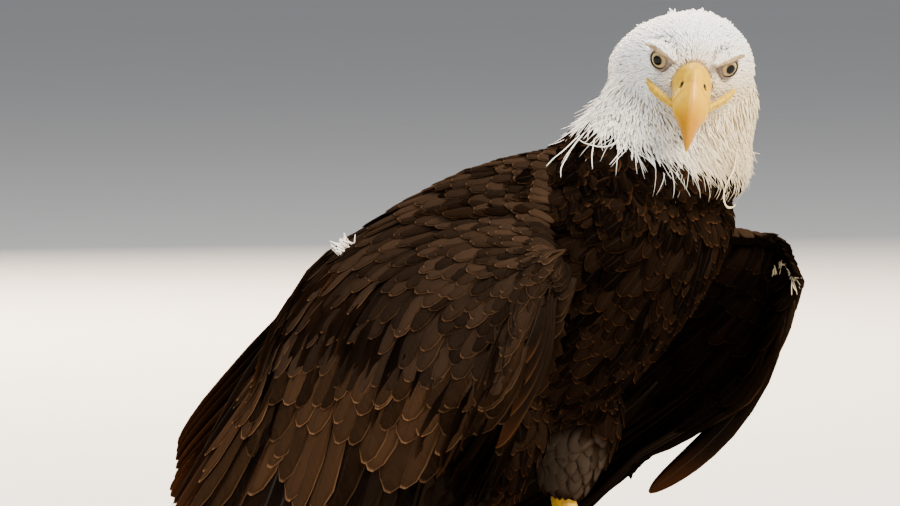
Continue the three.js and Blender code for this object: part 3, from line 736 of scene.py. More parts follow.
def bill_horn():
    """Horn: yellow flanks and a pale broad ridge at the base, its paleness partly horn colour and partly
    a painted highlight, deeper down the hook, with faint growth streaks."""
    f = Finish("bill_horn")
    place = f.place()
    hook = f.read("hook")
    streak = f.noise(f.stretch(place, (260, 260, 50)), 1.0, 4.0)
    cloud = f.noise(place, 90, 3.0)
    # The ridge's paler colour is partly a painted highlight along the top of the horn.
    colour = f.mix(f.ramp(f.read("ridge"), 0.35, 0.75), (0.56, 0.315, 0.002), (0.68, 0.33, 0.030))
    colour = f.mix(f.ramp(hook, 0.22, 0.6), colour, (0.33, 0.140, 0.0))
    colour = f.mix(f.ramp(hook, 0.82, 1.0), colour, (0.44, 0.24, 0.0))
    colour = f.mix(f.ramp(streak, 0.5, 0.75, 0.0, 0.4), colour, (0.33, 0.115, 0.0))
    colour = f.mix(f.ramp(cloud, 0.5, 0.75, 0.0, 0.3), colour, (0.54, 0.27, 0.012))
    f.bump(f.math("ADD", streak, cloud), 0.15, 0.0006)
    horn = f.set(
        Base_Color=colour, Roughness=f.ramp(cloud, 0.3, 0.7, 0.24, 0.38), Coat_Weight=0.08,
        Coat_Roughness=0.12, Specular_IOR_Level=0.12)
    return horn, "bill"


def waxy_skin(name, slot, main, shade, pit, scale):
    """Soft bare skin: mottled, finely creased, darker in its pits and creases; on the cere the pits are the
    nostril holes, their dark colour painted shade.
    """
    f = Finish(name)
    place = f.place()
    cloud = f.noise(place, scale * 0.35, 3.0)
    crease = f.node("TexVoronoi", {"Vector": place, "Scale": scale}, feature="DISTANCE_TO_EDGE").outputs[0]
    colour = f.mix(f.ramp(cloud, 0.35, 0.7), main, shade)
    colour = f.mix(f.ramp(crease, 0.12, 0.0, 0.0, 0.3), colour, shade)
    # Pits: on the cere this is the painted shade of the nostril holes.
    colour = f.mix(f.read("pit"), colour, pit)
    f.bump(f.ramp(crease, 0.0, 0.15), 0.3, 0.0006)
    return f.set(Base_Color=colour, Roughness=0.45, Specular_IOR_Level=0.2), slot


def eye_finish():
    """Eye by the angle from its look axis, held in the axis attribute as metres from it: black
    pupil, pale iris with fibres, dark limbal ring, dark ball beyond."""
    f = Finish("eye_glass")
    away, turn = f.split(f.read("axis", "Vector"))[:2]
    lines = f.node("CombineXYZ", {0: f.times(turn, 6), 1: f.times(away, 300)})
    fibres = f.noise(lines.outputs[0], 3.0, 4.0)
    colour = f.mix(f.ramp(fibres, 0.35, 0.65), (0.22, 0.165, 0.075), (0.56, 0.47, 0.25))
    colour = f.mix(f.ramp(away, 0.0040, 0.0057, 0.0, 0.7), colour, (0.20, 0.14, 0.08))
    colour = f.mix(f.ramp(away, 0.0045, 0.0033, 0.0, 0.75), colour, (0.17, 0.095, 0.035))
    colour = f.mix(f.ramp(away, 0.0055, 0.0060), colour, (0.008, 0.006, 0.006))
    colour = f.mix(f.ramp(away, 0.0034, 0.0030), colour, (0.001, 0.001, 0.001))
    glass = f.set(
        Base_Color=colour, Roughness=0.1, Coat_Weight=0.12, Coat_Roughness=0.02,
        Specular_IOR_Level=0.05)
    return glass, "eye"


def talon_finish():
    f = Finish("talon_horn")
    grain = f.noise(f.stretch(f.place(), (300, 300, 90)), 1.0, 4.0)
    colour = f.mix(grain, (0.006, 0.006, 0.007), (0.03, 0.028, 0.028))
    f.bump(grain, 0.12, 0.0005)
    return f.set(Base_Color=colour, Roughness=0.24, Coat_Weight=0.3, Coat_Roughness=0.15), "talon"


def floor_finish():
    f = Finish("pale_floor")
    colour = f.mix(f.noise(f.place(), 6, 4.0), (0.60, 0.59, 0.58), (0.64, 0.63, 0.62))
    return f.set(Base_Color=colour, Roughness=0.9, Specular_IOR_Level=0.1)


# ---- stage

# Lamps: name, azimuth, elevation, distance, size, power, colour.
LAMPS = [
    ("key", -6, 44, 4.2, 2.2, 700, (1.0, 0.93, 0.82)),
    ("sky", -112, 52, 4.4, 3.6, 260, (0.78, 0.88, 1.0)),
    ("rim", 138, 29, 3.8, 2.2, 620, (1.0, 0.78, 0.56)),
    ("low", -60, 7, 5.5, 2.6, 60, (1.0, 0.98, 0.95)),
]


def aimed(name, data, azimuth, elevation, distance):
    """A camera or lamp that looks at the bird's middle from an azimuth and an elevation."""
    a, e = math.radians(azimuth), math.radians(elevation)
    away = Vector((math.sin(a) * math.cos(e), -math.cos(a) * math.cos(e), math.sin(e)))
    obj = bpy.data.objects.new(name, data)
    obj.location = Vector(plan(VIEW_CENTRE)) + away * distance
    obj.rotation_mode = "QUATERNION"
    obj.rotation_quaternion = away.to_track_quat("Z", "Y")
    bpy.context.scene.collection.objects.link(obj)
    return obj


def camera_and_lights():
    """A long lens five metres off the bird's right front, and soft studio lamps about it."""
    data = bpy.data.cameras.new("camera")
    data.lens, data.sensor_width = LENS, 36
    data.clip_end = 200
    bpy.context.scene.camera = aimed("camera", data, *CAMERA_PLACE)
    for name, azimuth, elevation, distance, size, power, colour in LAMPS:
        lamp = bpy.data.lights.new(name, "AREA")
        lamp.shape, lamp.size, lamp.energy, lamp.color = "DISK", size, power, colour
        aimed(name, lamp, azimuth, elevation, distance)
    world = bpy.data.worlds.new("studio")
    world.use_nodes = True
    background = world.node_tree.nodes["Background"].inputs
    background[0].default_value = (0.86, 0.89, 0.95, 1)
    background[1].default_value = 0.4
    bpy.context.scene.world = world
    corners = np.array([[-1, -1, 0], [1, -1, 0], [1, 1, 0], [-1, 1, 0]]) * FLOOR_REACH
    floor = put_mesh("floor", corners, [[0, 1, 2, 3]])
    floor.data.materials.append(floor_finish())


# ---- skin

FLESH = ["head", "neck", "trunk", "leg_left_thigh", "leg_right_thigh"] + [
    f"wing_{side}_{part}" for side in ("left", "right") for part in ("upper_arm", "forearm", "hand")]
SKIN_VOXEL = 0.003
RELAX_ROUNDS, RELAX_SHARE = 6, 0.55
BODY_DEPTH, NECK_DEPTH, HEAD_DEPTH, WING_DEPTH = 0.005, 0.005, 0.0022, 0.0016


# The hood's lower border: its height at the throat, its rise to the nape, and where it ends.
HOOD_BORDER, HOOD_RISE, HOOD_BACK = 0.302, 0.34, -0.012


def hood_height(points):
    """How far a place is above the hood's lower border, which rises to the nape."""
    p = points - ORIGIN
    border = HOOD_BORDER + HOOD_RISE * (p[..., 1] + 0.1)
    return np.where(p[..., 1] < HOOD_BACK, p[..., 2] - border, -0.05)


def in_head(points):
    """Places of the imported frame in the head's own frame, in millimetres."""
    return ((points - ORIGIN) * 1000 - HEAD_CENTRE) @ HEAD_ROTATION


def coat_depth(points):
    """Depth of the coat over the skin: shallow on the wings and face, deeper on the body."""
    face = smoothstep(78, 48, np.linalg.norm(in_head(points) * [1, 0.8, 1], axis=1))
    across = np.abs(points[:, 0] - ORIGIN[0])
    arm = smoothstep(0.088, 0.104, across)
    body = lerp(BODY_DEPTH, NECK_DEPTH, smoothstep(0.28, 0.3, points[:, 2]))
    return lerp(lerp(body, WING_DEPTH, arm), HEAD_DEPTH, face)


def make_skin():
    """One closed skin: the flesh parts joined and remeshed on a fine grid, relaxed by moving
    each point towards its neighbours' mean, then set in along its normals by the coat."""
    parts = []
    for name in FLESH:
        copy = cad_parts[name].copy()
        copy.data = copy.data.copy()
        copy.parent = None
        bpy.context.scene.collection.objects.link(copy)
        parts.append(copy)
    joined = parts[0]
    with bpy.context.temp_override(
            active_object=joined, object=joined, selected_objects=parts,
            selected_editable_objects=parts):
        bpy.ops.object.join()
    weld = joined.modifiers.new("weld", "WELD")
    weld.merge_threshold = 1e-6
    remesh = joined.modifiers.new("remesh", "REMESH")
    remesh.mode, remesh.voxel_size = "VOXEL", SKIN_VOXEL
    bpy.context.view_layer.update()
    evaluated = joined.evaluated_get(bpy.context.evaluated_depsgraph_get())
    mesh = bpy.data.meshes.new_from_object(evaluated)
    bpy.data.objects.remove(joined)
    points = read_all(mesh.vertices, "co", 3).astype(float)
    a, b = read_all(mesh.edges, "vertices", 2, np.int32).T
    count = np.bincount(np.concatenate([a, b]), minlength=len(points))[:, None]
    for _ in range(RELAX_ROUNDS):
        total = np.stack([
            np.bincount(a, points[b, k], len(points)) + np.bincount(b, points[a, k], len(points))
            for k in range(3)], 1)
        points = lerp(points, total / count, RELAX_SHARE)
    mesh.vertices.foreach_set("co", points.astype(np.float32).ravel())
    mesh.update()
    points = points - read_all(mesh.vertices, "normal", 3) * coat_depth(points)[:, None]
    mesh.vertices.foreach_set("co", points.astype(np.float32).ravel())
    mesh.polygons.foreach_set("use_smooth", np.full(len(mesh.polygons), True))
    mesh.update()
    mesh.materials.clear()
    skin = bpy.data.objects.new("skin", mesh)
    mesh.name = "skin"
    bpy.context.scene.collection.objects.link(skin)
    mark(skin, "white", smoothstep(-0.004, 0.002, hood_height(points)))
    return finish_piece(skin, plumage_skin(), *FLESH)


FOLLOW_STEPS = 3


class Ground:
    """The skin as something for feathers to follow: nearest places with smooth normals."""

    def __init__(self, skin):
        mesh = skin.data
        self.points = read_all(mesh.vertices, "co", 3).astype(float)
        self.normals = read_all(mesh.vertices, "normal", 3).astype(float)
        faces = [tuple(p.vertices) for p in mesh.polygons]
        self.corners = np.array([f if len(f) == 4 else (*f, f[-1]) for f in faces])
        self.tree = BVHTree.FromPolygons([Vector(p) for p in self.points], faces)

    def nearest(self, points):
        """Places on the skin nearest the given ones, and the skin's smooth normals there."""
        found = [self.tree.find_nearest(Vector(p))[::2] for p in points]
        place = np.array([tuple(f[0]) for f in found])
        corner = self.corners[[f[1] for f in found]]
        offset = self.points[corner] - place[:, None]
        weight = 1 / (np.linalg.norm(offset, axis=2) + 1e-6)
        return place, unit((self.normals[corner] * weight[..., None]).sum(1))

    def follow(self, roots, lie, length, stations):
        """Spines that start at the roots and step along the skin in the lie, and their up
        vectors."""
        place, up = self.nearest(roots)
        spine, ups = [place], [up]
        step = (length / FOLLOW_STEPS)[:, None]
        heading = lie
        for _ in range(FOLLOW_STEPS):
            heading = level(heading, up)
            place, up = self.nearest(place + heading * step + up * 0.001)
            spine.append(place)
            ups.append(up)
        line, over = (spline(np.array(rows), stations).transpose(1, 0, 2) for rows in (spine, ups))
        return line, unit(over)


# ---- feathers of head and body

RNG = np.random.default_rng(7)
BLADE_AT = np.array([0, 0.3, 0.6, 0.84, 1.0])
COVERT_AT = np.array([0, 0.16, 0.38, 0.6, 0.79, 0.92, 1.0])
QUILL_AT = np.array([0, 0.08, 0.18, 0.3, 0.42, 0.54, 0.66, 0.76, 0.84, 0.9, 0.945, 0.975, 0.993, 1.0])


def staggered(sheet, b_line, pitch, shift):
    """Places a pitch apart along the line b = b_line(a) across a sheet, moved by a share of
    the pitch. Returns their a."""
    a = np.linspace(0, 1, 160)
    points = sheet.point(a, b_line(a))
    length = np.concatenate([[0], np.cumsum(np.linalg.norm(np.diff(points, axis=0), axis=1))])
    count = max(int(length[-1] / pitch), 1)
    at = (np.arange(count) + shift) * length[-1] / count
    return np.interp(at, length, a)


def rows_on(sheet, row_pitch, pitch, b_from=0.0, b_to=1.0, jitter=0.25):
    """Staggered rows over a ring sheet, a row pitch apart along it, as arrays of a and b."""
    reach = (b_to - b_from) * sheet.lengths.mean()
    count = max(int(reach / row_pitch), 1)
    found = []
    for row in range(count):
        b = b_from + (b_to - b_from) * (row + 0.5) / count
        a = staggered(sheet, lambda x: np.full_like(x, b), pitch, 0.25 + 0.5 * (row % 2))
        found.append(np.stack([a, np.full_like(a, b)]))
    a, b = np.concatenate(found, axis=1)
    n = len(a)
    b = b + RNG.uniform(-1, 1, n) * jitter * (b_to - b_from) / count
    rings = np.linalg.norm(np.diff(sheet.grid[:, ::10], axis=0), axis=2).sum(0).mean()
    a = a + RNG.uniform(-1, 1, n) * jitter * pitch / rings
    return a % 1.0, np.clip(b, 0, 1)


def turned(lie, up, angle):
    """The lie turned about the up vectors by an angle."""
    c, s = np.cos(angle)[:, None], np.sin(angle)[:, None]
    return lie * c + np.cross(up, lie) * s


def map_place(a, b, low=0.02, high=0.98):
    """The place of a sheet's (a, b) on its own unwrap, inside a part of the map."""
    return np.stack([lerp(low, high, a), lerp(0.02, 0.98, b)], 1)


def spots(n):
    """Places in a row over the map, one for each feather."""
    return np.stack([(np.arange(n) + 0.5) / n, np.full(n, 0.5)], 1)


def kept(keep, *rows):
    return [row[keep] for row in rows]


def coat(name, ground, look, root, lie, length, half, uv, shape, thick, camber, lift, tone=None,
         roll=0.05, stand=0.0, depth=1.0, at=COVERT_AT, section=COVERT, rag=0.0):
    """Feathers over the skin from roots, lie, length and half width. shape is the share of
    the half width, and lift the height over the skin, at the stations in at. stand raises
    the tips further, and depth scales the lift."""
    spine, up = ground.follow(root, lie, length, at)
    rise = lift * np.reshape(depth, (-1, 1)) + np.reshape(stand, (-1, 1)) * at**2
    tone = RNG.uniform(0, 1, len(root)) if tone is None else tone
    roll = RNG.normal(0, roll, len(root))
    spine = spine + up * rise[..., None]
    wide = half[:, None] * shape
    return vanes(name, look, spine, up, wide, section, thick, camber, roll, tone, uv, rag=rag)


def on_sheet(sheet, ground, a, b, reach):
    """Which places of a sheet have the skin close under them."""
    point = sheet.point(a, b)
    return np.linalg.norm(ground.nearest(point)[0] - point, axis=1) < reach


def rooted(sheet, ground, row_pitch, pitch, b_from, b_to, reach, jitter=0.25):
    """Rows over a ring sheet where the skin is close, as a, b and places."""
    a, b = rows_on(sheet, row_pitch, pitch, b_from, b_to, jitter)
    a, b = kept(on_sheet(sheet, ground, a, b, reach), a, b)
    return a, b, sheet.point(a, b)


def strayed(sheet, a, b, spread):
    """The lie of the sheet, turned at random."""
    return turned(sheet.lie(a, b), sheet.normal(a, b), RNG.normal(0, spread, len(a)))


CONTOUR_LIFT = 0.0002 + 0.0046 * COVERT_AT**0.75
THIGH_LIFT = 0.0002 + 0.0044 * COVERT_AT**0.8
CONTOUR_SHAPE = outline(COVERT_AT, 0.35, 2.0, blunt=0.1)


def body_coat(ground, dark):
    """Rounded, overlapping contour feathers on the trunk, the shoulders and the thighs."""
    sheet = trunk_sheet()
    a, b, point = rooted(sheet, ground, 0.0085, 0.0098, 0.0, 0.93, 0.0105, jitter=0.35)
    a, b, point = kept(hood_height(point) < 0.006, a, b, point)
    back = (a < 0.25) | (a > 0.75)
    for name, side in (("back_feathers", back), ("breast_feathers", ~back)):
        u, v, root = kept(side, a, b, point)
        length = lerp(0.030, 0.044, v) * RNG.uniform(0.85, 1.15, len(u))
        stand = RNG.uniform(-0.0004, 0.0012, len(u))
        coat(
            name, ground, dark, root, strayed(sheet, u, v, 0.10), length, length * 0.27, map_place(u, v),
            outline(COVERT_AT, 0.42, 2.4, blunt=0.12), 0.0005, 0.14, CONTOUR_LIFT, roll=0.08,
            stand=stand, rag=0.06)
    sheet = neck_sheet()
    a, b, point = rooted(sheet, ground, 0.0065, 0.0075, 0.2, 1.0, 0.0115)
    a, b, point = kept(hood_height(point) < 0.008, a, b, point)
    stand = RNG.uniform(-0.0004, 0.0014, len(a))
    length = RNG.uniform(0.022, 0.032, len(a))
    coat(
        "shoulder_feathers", ground, dark, point, strayed(sheet, a, b, 0.14), length, length * 0.24,
        map_place(a, b), CONTOUR_SHAPE, 0.0006, 0.2, CONTOUR_LIFT, roll=0.1, stand=stand, rag=0.08)
    thighs = []
    for side, low in ((1, 0.02), (-1, 0.52)):
        sheet = thigh_sheet(side)
        a, b, point = rooted(sheet, ground, 0.0075, 0.0085, 0.0, 0.93, 0.0105)
        thighs.append((point, sheet.lie(a, b), map_place(a, b, low, low + 0.46)))
    root, lie, uv = gathered(thighs)
    stand = RNG.uniform(-0.0004, 0.0016, len(root))
    length = RNG.uniform(0.024, 0.032, len(root))
    coat(
        "thigh_feathers", ground, dark, root, lie, length, length * 0.24, uv, CONTOUR_SHAPE, 0.0005,
        0.16, THIGH_LIFT, stand=stand, rag=0.1)


FACE_GAPS = [  # bare places of the face in the head's frame: centre, reach
    ([24, -30.6, 3.6], 8.4), ([8, -52, -3], 11.0), ([0, -53, 3], 11.0), ([0, -50, -18], 11.0),
    ([16, -46.5, -16], 3.4), ([21, -39, -15.5], 2.6), ([26, -30, -14.3], 2.2),
]


def clear_of_face(points):
    """Which places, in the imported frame, are clear of the eyes, bill and gape."""
    local = in_head(points)
    local[:, 0] = np.abs(local[:, 0])
    clear = np.ones(len(points), bool)
    for centre, reach in FACE_GAPS:
        clear &= np.linalg.norm(local - centre, axis=1) > reach
    return clear


CRESTS = [  # ruffled places of the crown in the head's frame: centre, reach, height
    ([3.5, 22, 21], 10, 0.0048), ([-15, 24, 17], 3.2, 0.0065), ([-30, 20, 12], 2.6, 0.005),
    ([-36, 19, 9], 2.4, 0.005), ([20, 12, 19], 3, 0.003),
]


def head_coat(ground, white):
    """Short tapering tufts from the bill back over the face and crown, longer on the cheeks
    and nape."""
    sheet = head_sheet()
    a, b, point = rooted(sheet, ground, 0.00135, 0.0015, 0.0, 0.97, 0.0085, jitter=0.5)
    a, b, point = kept(clear_of_face(point), a, b, point)
    low = smoothstep(0.12, 0.4, np.minimum(a, 1 - a))
    n = len(a)
    down = np.array([0, 0, -1.0]) * (0.15 + 0.75 * low * smoothstep(0.1, 0.6, b))[:, None]
    normal = sheet.normal(a, b)
    lie = turned(level(unit(sheet.lie(a, b) + down), normal), normal, RNG.normal(0, 0.2, n))
    length = lerp(0.0038, 0.0095, smoothstep(0.05, 0.6, b)) * (1 + 0.5 * low * b)
    length = length * RNG.uniform(0.8, 1.25, n)
    crest = np.zeros(n)
    for centre, reach, height in CRESTS:
        away = (((point - head(centre)) * 1000) ** 2).sum(1)
        crest = np.maximum(crest, np.exp(-away / reach**2) * height * RNG.uniform(0, 1, n) ** 2)
    stand = np.abs(RNG.normal(0, 0.0004, n)) + crest
    fore, right = b < 0.5, a < 0.5
    for name, part in (("face_tufts", fore), ("crown_tufts", ~fore & right), ("cheek_tufts", ~fore & ~right)):
        u, v, root, way, long, raised = kept(part, a, b, point, lie, length, stand)
        coat(
            name, ground, white, root, way, long, long * 0.10 + 0.00022, map_place(u, v),
            outline(BLADE_AT, 0.25, 1.6, root_start=0.3, root_width=0.3, blunt=0.06), 0.0002, 0.15,
            0.0001 + 0.0017 * BLADE_AT**0.7, roll=0.2, stand=raised, at=BLADE_AT, section=BLADE)


def neck_coat(ground, white):
    """Long pointed hackles that hang from the head over the shoulders, with a ragged border."""
    sheet = neck_sheet()
    a, b, point = rooted(sheet, ground, 0.0024, 0.0022, 0.0, 1.0, 0.014, jitter=0.5)
    near, out = ground.nearest(point)
    fade = smoothstep(-0.011, 0.003, ((point - near) * out).sum(1))
    keep = hood_height(point) > 0.006 + RNG.uniform(0, 0.008, len(a))
    keep &= RNG.uniform(0, 1, len(a)) < lerp(0.45, 1, fade)
    a, b, point, fade = kept(keep, a, b, point, lerp(0.4, 1, fade))
    n = len(a)
    lie = strayed(sheet, a, b, 0.17)
    length = RNG.uniform(0.015, 0.027, n) * fade
    stand = np.abs(RNG.normal(0, 0.0009, n))
    upper = b < 0.35
    for name, part in (("upper_hackles", upper), ("lower_hackles", ~upper)):
        u, v, root, way, long, raised, depth = kept(part, a, b, point, lie, length, stand, fade)
        coat(
            name, ground, white, root, way, long, long * 0.058, map_place(u, v),
            outline(BLADE_AT, 0.3, 1.5, root_start=0.35, root_width=0.12, blunt=0.05), 0.00025, 0.2,
            0.0052 * BLADE_AT**0.8 - 0.0008, RNG.uniform(0.02, 1, len(u)), 0.16, raised, depth,
            BLADE_AT, BLADE)


WISP_AT = np.linspace(0, 1, 9)
WISP_TRIES, WISPS = 6000, 620
# Long loose strands of the nape and the curled one of the throat: path, half width.
STRANDS = [
    ([[-53, -57, 313], [-63, -55, 305], [-67, -52, 297], [-73, -52, 291], [-75, -53, 285]], 0.65),
    ([[-55, -55, 312], [-65, -50, 303], [-71, -45, 297], [-75, -42, 292]], 0.5),
    ([[-56, -67, 310], [-64, -71, 306], [-71, -74, 299], [-75, -77, 291]], 0.5),
    ([[-49, -89, 311], [-58, -91, 306], [-65, -90, 300], [-72, -88, 294]], 0.5),
    ([[-45, -81, 318], [-58, -85, 309], [-64, -79, 305], [-65, -66, 307], [-62, -58, 310]], 0.5),
    ([[10, -136, 302], [1, -139, 290], [-4, -138, 283], [-5, -135, 275], [-5, -135, 269],
      [-4, -137, 265], [-2, -140, 265], [-1, -141, 267]], 1.25),
]
# Loose down caught on the plumage: ends of its line of roots, its heading, length, count.
DOWN = [
    ([-97, 103, 230], [-91, 97, 239], [-0.25, 0.5, 0.45], 9, 34),
    ([147, -84, 219], [150, -93, 222], [-0.1, -0.3, -0.8], 9, 14),
    ([150, -94, 221], [143, -104, 209], [-0.1, -0.5, -0.8], 9, 30),
]


def hood_wisps(ground, white):
    """Thin strands along the hood's ragged border that follow the skin, stand off it towards
    their tips, and curl aside."""
    sheet = neck_sheet()
    a, b = RNG.uniform(0, 1, (2, WISP_TRIES))
    height = hood_height(sheet.point(a, b))
    keep = on_sheet(sheet, ground, a, b, 0.011) & (height > 0.001) & (height < 0.024)
    a, b = a[keep][:WISPS], b[keep][:WISPS]
    n = len(a)
    lie = strayed(sheet, a, b, 0.32)
    length = RNG.uniform(0.014, 0.034, n)
    half = RNG.uniform(0.0002, 0.00042, n)[:, None] * outline(WISP_AT, 0.2, 1.3, root_width=0.7, blunt=0.15)
    stand = np.abs(RNG.normal(0, 0.0022, n))
    curl = RNG.normal(0, 0.005, n)
    spine, up = ground.follow(sheet.point(a, b), lie, length, WISP_AT)
    spine = spine + up * (0.002 + 0.003 * WISP_AT**0.6)[:, None]
    side = unit(np.cross(unit(np.gradient(spine, axis=1)), up))
    bend = up * stand[:, None, None] + side * curl[:, None, None]
    tone = RNG.uniform(0.02, 1, n)
    vanes(
        "hood_wisps", white, spine + bend * WISP_AT[:, None] ** 2, up, half, BLADE, 0.00025, 0.1, 0.0,
        tone, map_place(a, b))


THROAT = [0, -82, 286]


def long_strands(white):
    """The long loose strands, which face away from the throat's middle."""
    at = np.linspace(0, 1, 22)
    shape = outline(at, 0.25, 1.3, root_width=0.9, blunt=0.22)
    line = np.array([plan(spline(path, at)) for path, half in STRANDS])
    half = mm([half for path, half in STRANDS])[:, None] * shape
    n = len(STRANDS)
    up = unit(line - plan(THROAT))
    vanes("long_strands", white, line, up, half, TUFT, 0.0004, 0.25, 0.3, RNG.uniform(0.5, 1, n), spots(n))


def loose_down(white):
    """Bits of down caught on the back and wrists, each bent aside."""
    bits = []
    for start, end, heading, length, count in DOWN:
        along = RNG.uniform(0, 1, (count, 1))
        root = lerp(np.array(start), np.array(end), along) + RNG.normal(0, 1.1, (count, 3))
        way = unit(unit(np.array(heading)) + RNG.normal(0, 0.33, (count, 3)))
        bits.append((root, way, length * RNG.uniform(0.6, 1.2, count)))
    root, heading, length = gathered(bits)
    n = len(root)
    bend = unit(np.cross(heading, RNG.normal(0, 1, (n, 3))))
    share = WISP_AT[:, None]
    run = length[:, None, None]
    line = root[:, None] + heading[:, None] * run * share + bend[:, None] * run * 0.25 * share**2
    up = np.broadcast_to(np.cross(heading, bend)[:, None], line.shape)
    half = 0.00055 * outline(WISP_AT, 0.3, 1.6, root_width=0.5, blunt=0.2) * np.ones((n, 1))
    vanes(
        "loose_down", white, plan(line), up, half, BLADE, 0.0003, 0.2, 0.0, RNG.uniform(0.3, 1, n),
        spots(n))
# ---- feathers of the wings

# Tips of the greater and median coverts, as shares along the wing at shares across it.
COVERT_ACROSS = np.array([0, 1, 1.4, 1.8, 2.5, 3, 3.5, 4, 4.5, 5]) / OUTER_RIB
GREATER_TIPS = [0.66, 0.78, 0.80, 0.79, 0.765, 0.71, 0.60, 0.43, 0.33, 0.27]
MEDIAN_TIPS = [0.54, 0.69, 0.70, 0.68, 0.62, 0.57, 0.50, 0.35, 0.26, 0.20]
LESSER_SHARES = [0.85, 0.735, 0.63, 0.535, 0.45, 0.375, 0.305, 0.24, 0.18, 0.125, 0.075, 0.03]
UNDER_REACH = [1, 1, 1, 1, 1, 1, 0.95, 0.85, 0.75, 0.7]
UNDER_SHARES = [0.62, 0.52, 0.42, 0.33, 0.25, 0.18, 0.12, 0.06]
ROOT_DEPTH = 0.0030


def laid(sheet, a, b_tip, length, drift, lift):
    """Coverts along a sheet's lie that end at b_tip. Returns spines and up vectors, raised
    off the sheet by the lift at each station."""
    run = (length / sheet.length(a))[:, None]
    b = b_tip[:, None] - run * (1 - COVERT_AT)
    across = a[:, None] + np.reshape(drift, (-1, 1)) * (COVERT_AT - 1)
    line, up = sheet.point(across, b), sheet.normal(across, b)
    early = np.minimum(b, 0)[..., None] * sheet.length(across)[..., None]
    line = line + early * sheet.lie(across, np.zeros_like(b)) * 0.6 + early * up * 0.5
    return line + up * lift[:, None], up


def covert_rows(name, sheet, roll, dark, tips, dusk):
    """Rows of coverts as (tip line, length, half width, pitch, lift): rounded feathers that
    overlap the row after them, and darken to the share dusk over the hand."""
    rows = []
    for row, (line, length, half, pitch, lift) in enumerate(tips):
        a = staggered(sheet, line, pitch, 0.25 + 0.5 * (row % 2))
        n = len(a)
        a = np.clip(a + RNG.normal(0, 0.2, n) * pitch / 0.35, 0.002, 0.998)
        size = length * RNG.uniform(0.9, 1.1, n)
        b_tip = line(a) + RNG.normal(0, 0.11, n) * length / sheet.length(a)
        rise = (ROOT_DEPTH + lift) * COVERT_AT**0.8 - ROOT_DEPTH
        spine, up = laid(sheet, a, b_tip, size, RNG.normal(0, 0.006, n), rise)
        wide = half * RNG.uniform(0.9, 1.1, n)[:, None] * outline(COVERT_AT, 0.55, 2.6, blunt=0.16)
        tone = RNG.uniform(0.2, 1, n) * lerp(1, dusk, smoothstep(0.62, 0.92, a))
        rows.append((spine, up, wide, tone, map_place(a, np.clip(line(a), 0, 1))))
    spine, up, half, tone, uv = gathered(rows)
    roll = roll + RNG.normal(0, 0.05, len(tone))
    vanes(name, dark, spine, up, half, COVERT, 0.0005, 0.10, roll, tone, uv, rag=0.04)


def graded(line, shares, lengths, halves, pitches, lift):
    """Rows of coverts with their tips at shares of a line, from large ones to small ones."""
    rows = []
    for i, share in enumerate(shares):
        t = i / (len(shares) - 1)
        rows.append((
            lambda a, share=share: share * line(a), lerp(*lengths, t), lerp(*halves, t),
            lerp(*pitches, t), lift))
    return rows


def wing_coverts(wing, side, outer, under, small, large, below):
    """All coverts of one wing: median and greater rows, lesser rows towards the leading edge,
    and rows under the wing."""
    greater, median, reach = (
        lambda a, tips=tips: np.interp(a, COVERT_ACROSS, tips)
        for tips in (GREATER_TIPS, MEDIAN_TIPS, UNDER_REACH))
    big = [
        (greater, 0.098, 0.0125, 0.0128, 0.0002), (median, 0.068, 0.0115, 0.0122, 0.0008),
        (lambda a: 0.93 * median(a), 0.055, 0.0105, 0.0115, 0.0012),
    ]
    covert_rows(f"{wing}_greater_coverts", outer, side * 0.09, large, big, 0.3)
    rows = graded(median, LESSER_SHARES, (0.052, 0.020), (0.0105, 0.0052), (0.0112, 0.0064), 0.0007)
    covert_rows(f"{wing}_lesser_coverts", outer, side * 0.09, small, rows, 0.75)
    rows = graded(reach, UNDER_SHARES, (0.085, 0.018), (0.013, 0.005), (0.0135, 0.0062), 0.0006)
    covert_rows(f"{wing}_under_coverts", under, side * -0.09, below, rows, 0.3)


# Rows of flight feathers: count, span across in ribs, half width at root and tip side, root
# share along, tip share along, roll.
FLIGHT_ROWS = [
    ("tertials", 5, (0.0, 1.5), 0.021, 0.30, 0.985, 0.08),
    ("secondaries", 13, (1.5, 3.95), 0.0185, 0.34, 0.995, 0.09),
    ("primaries", 10, (3.95, 5.0), 0.0165, 0.22, 1.0, 0.14),
]
BAKE_COLUMNS = 7


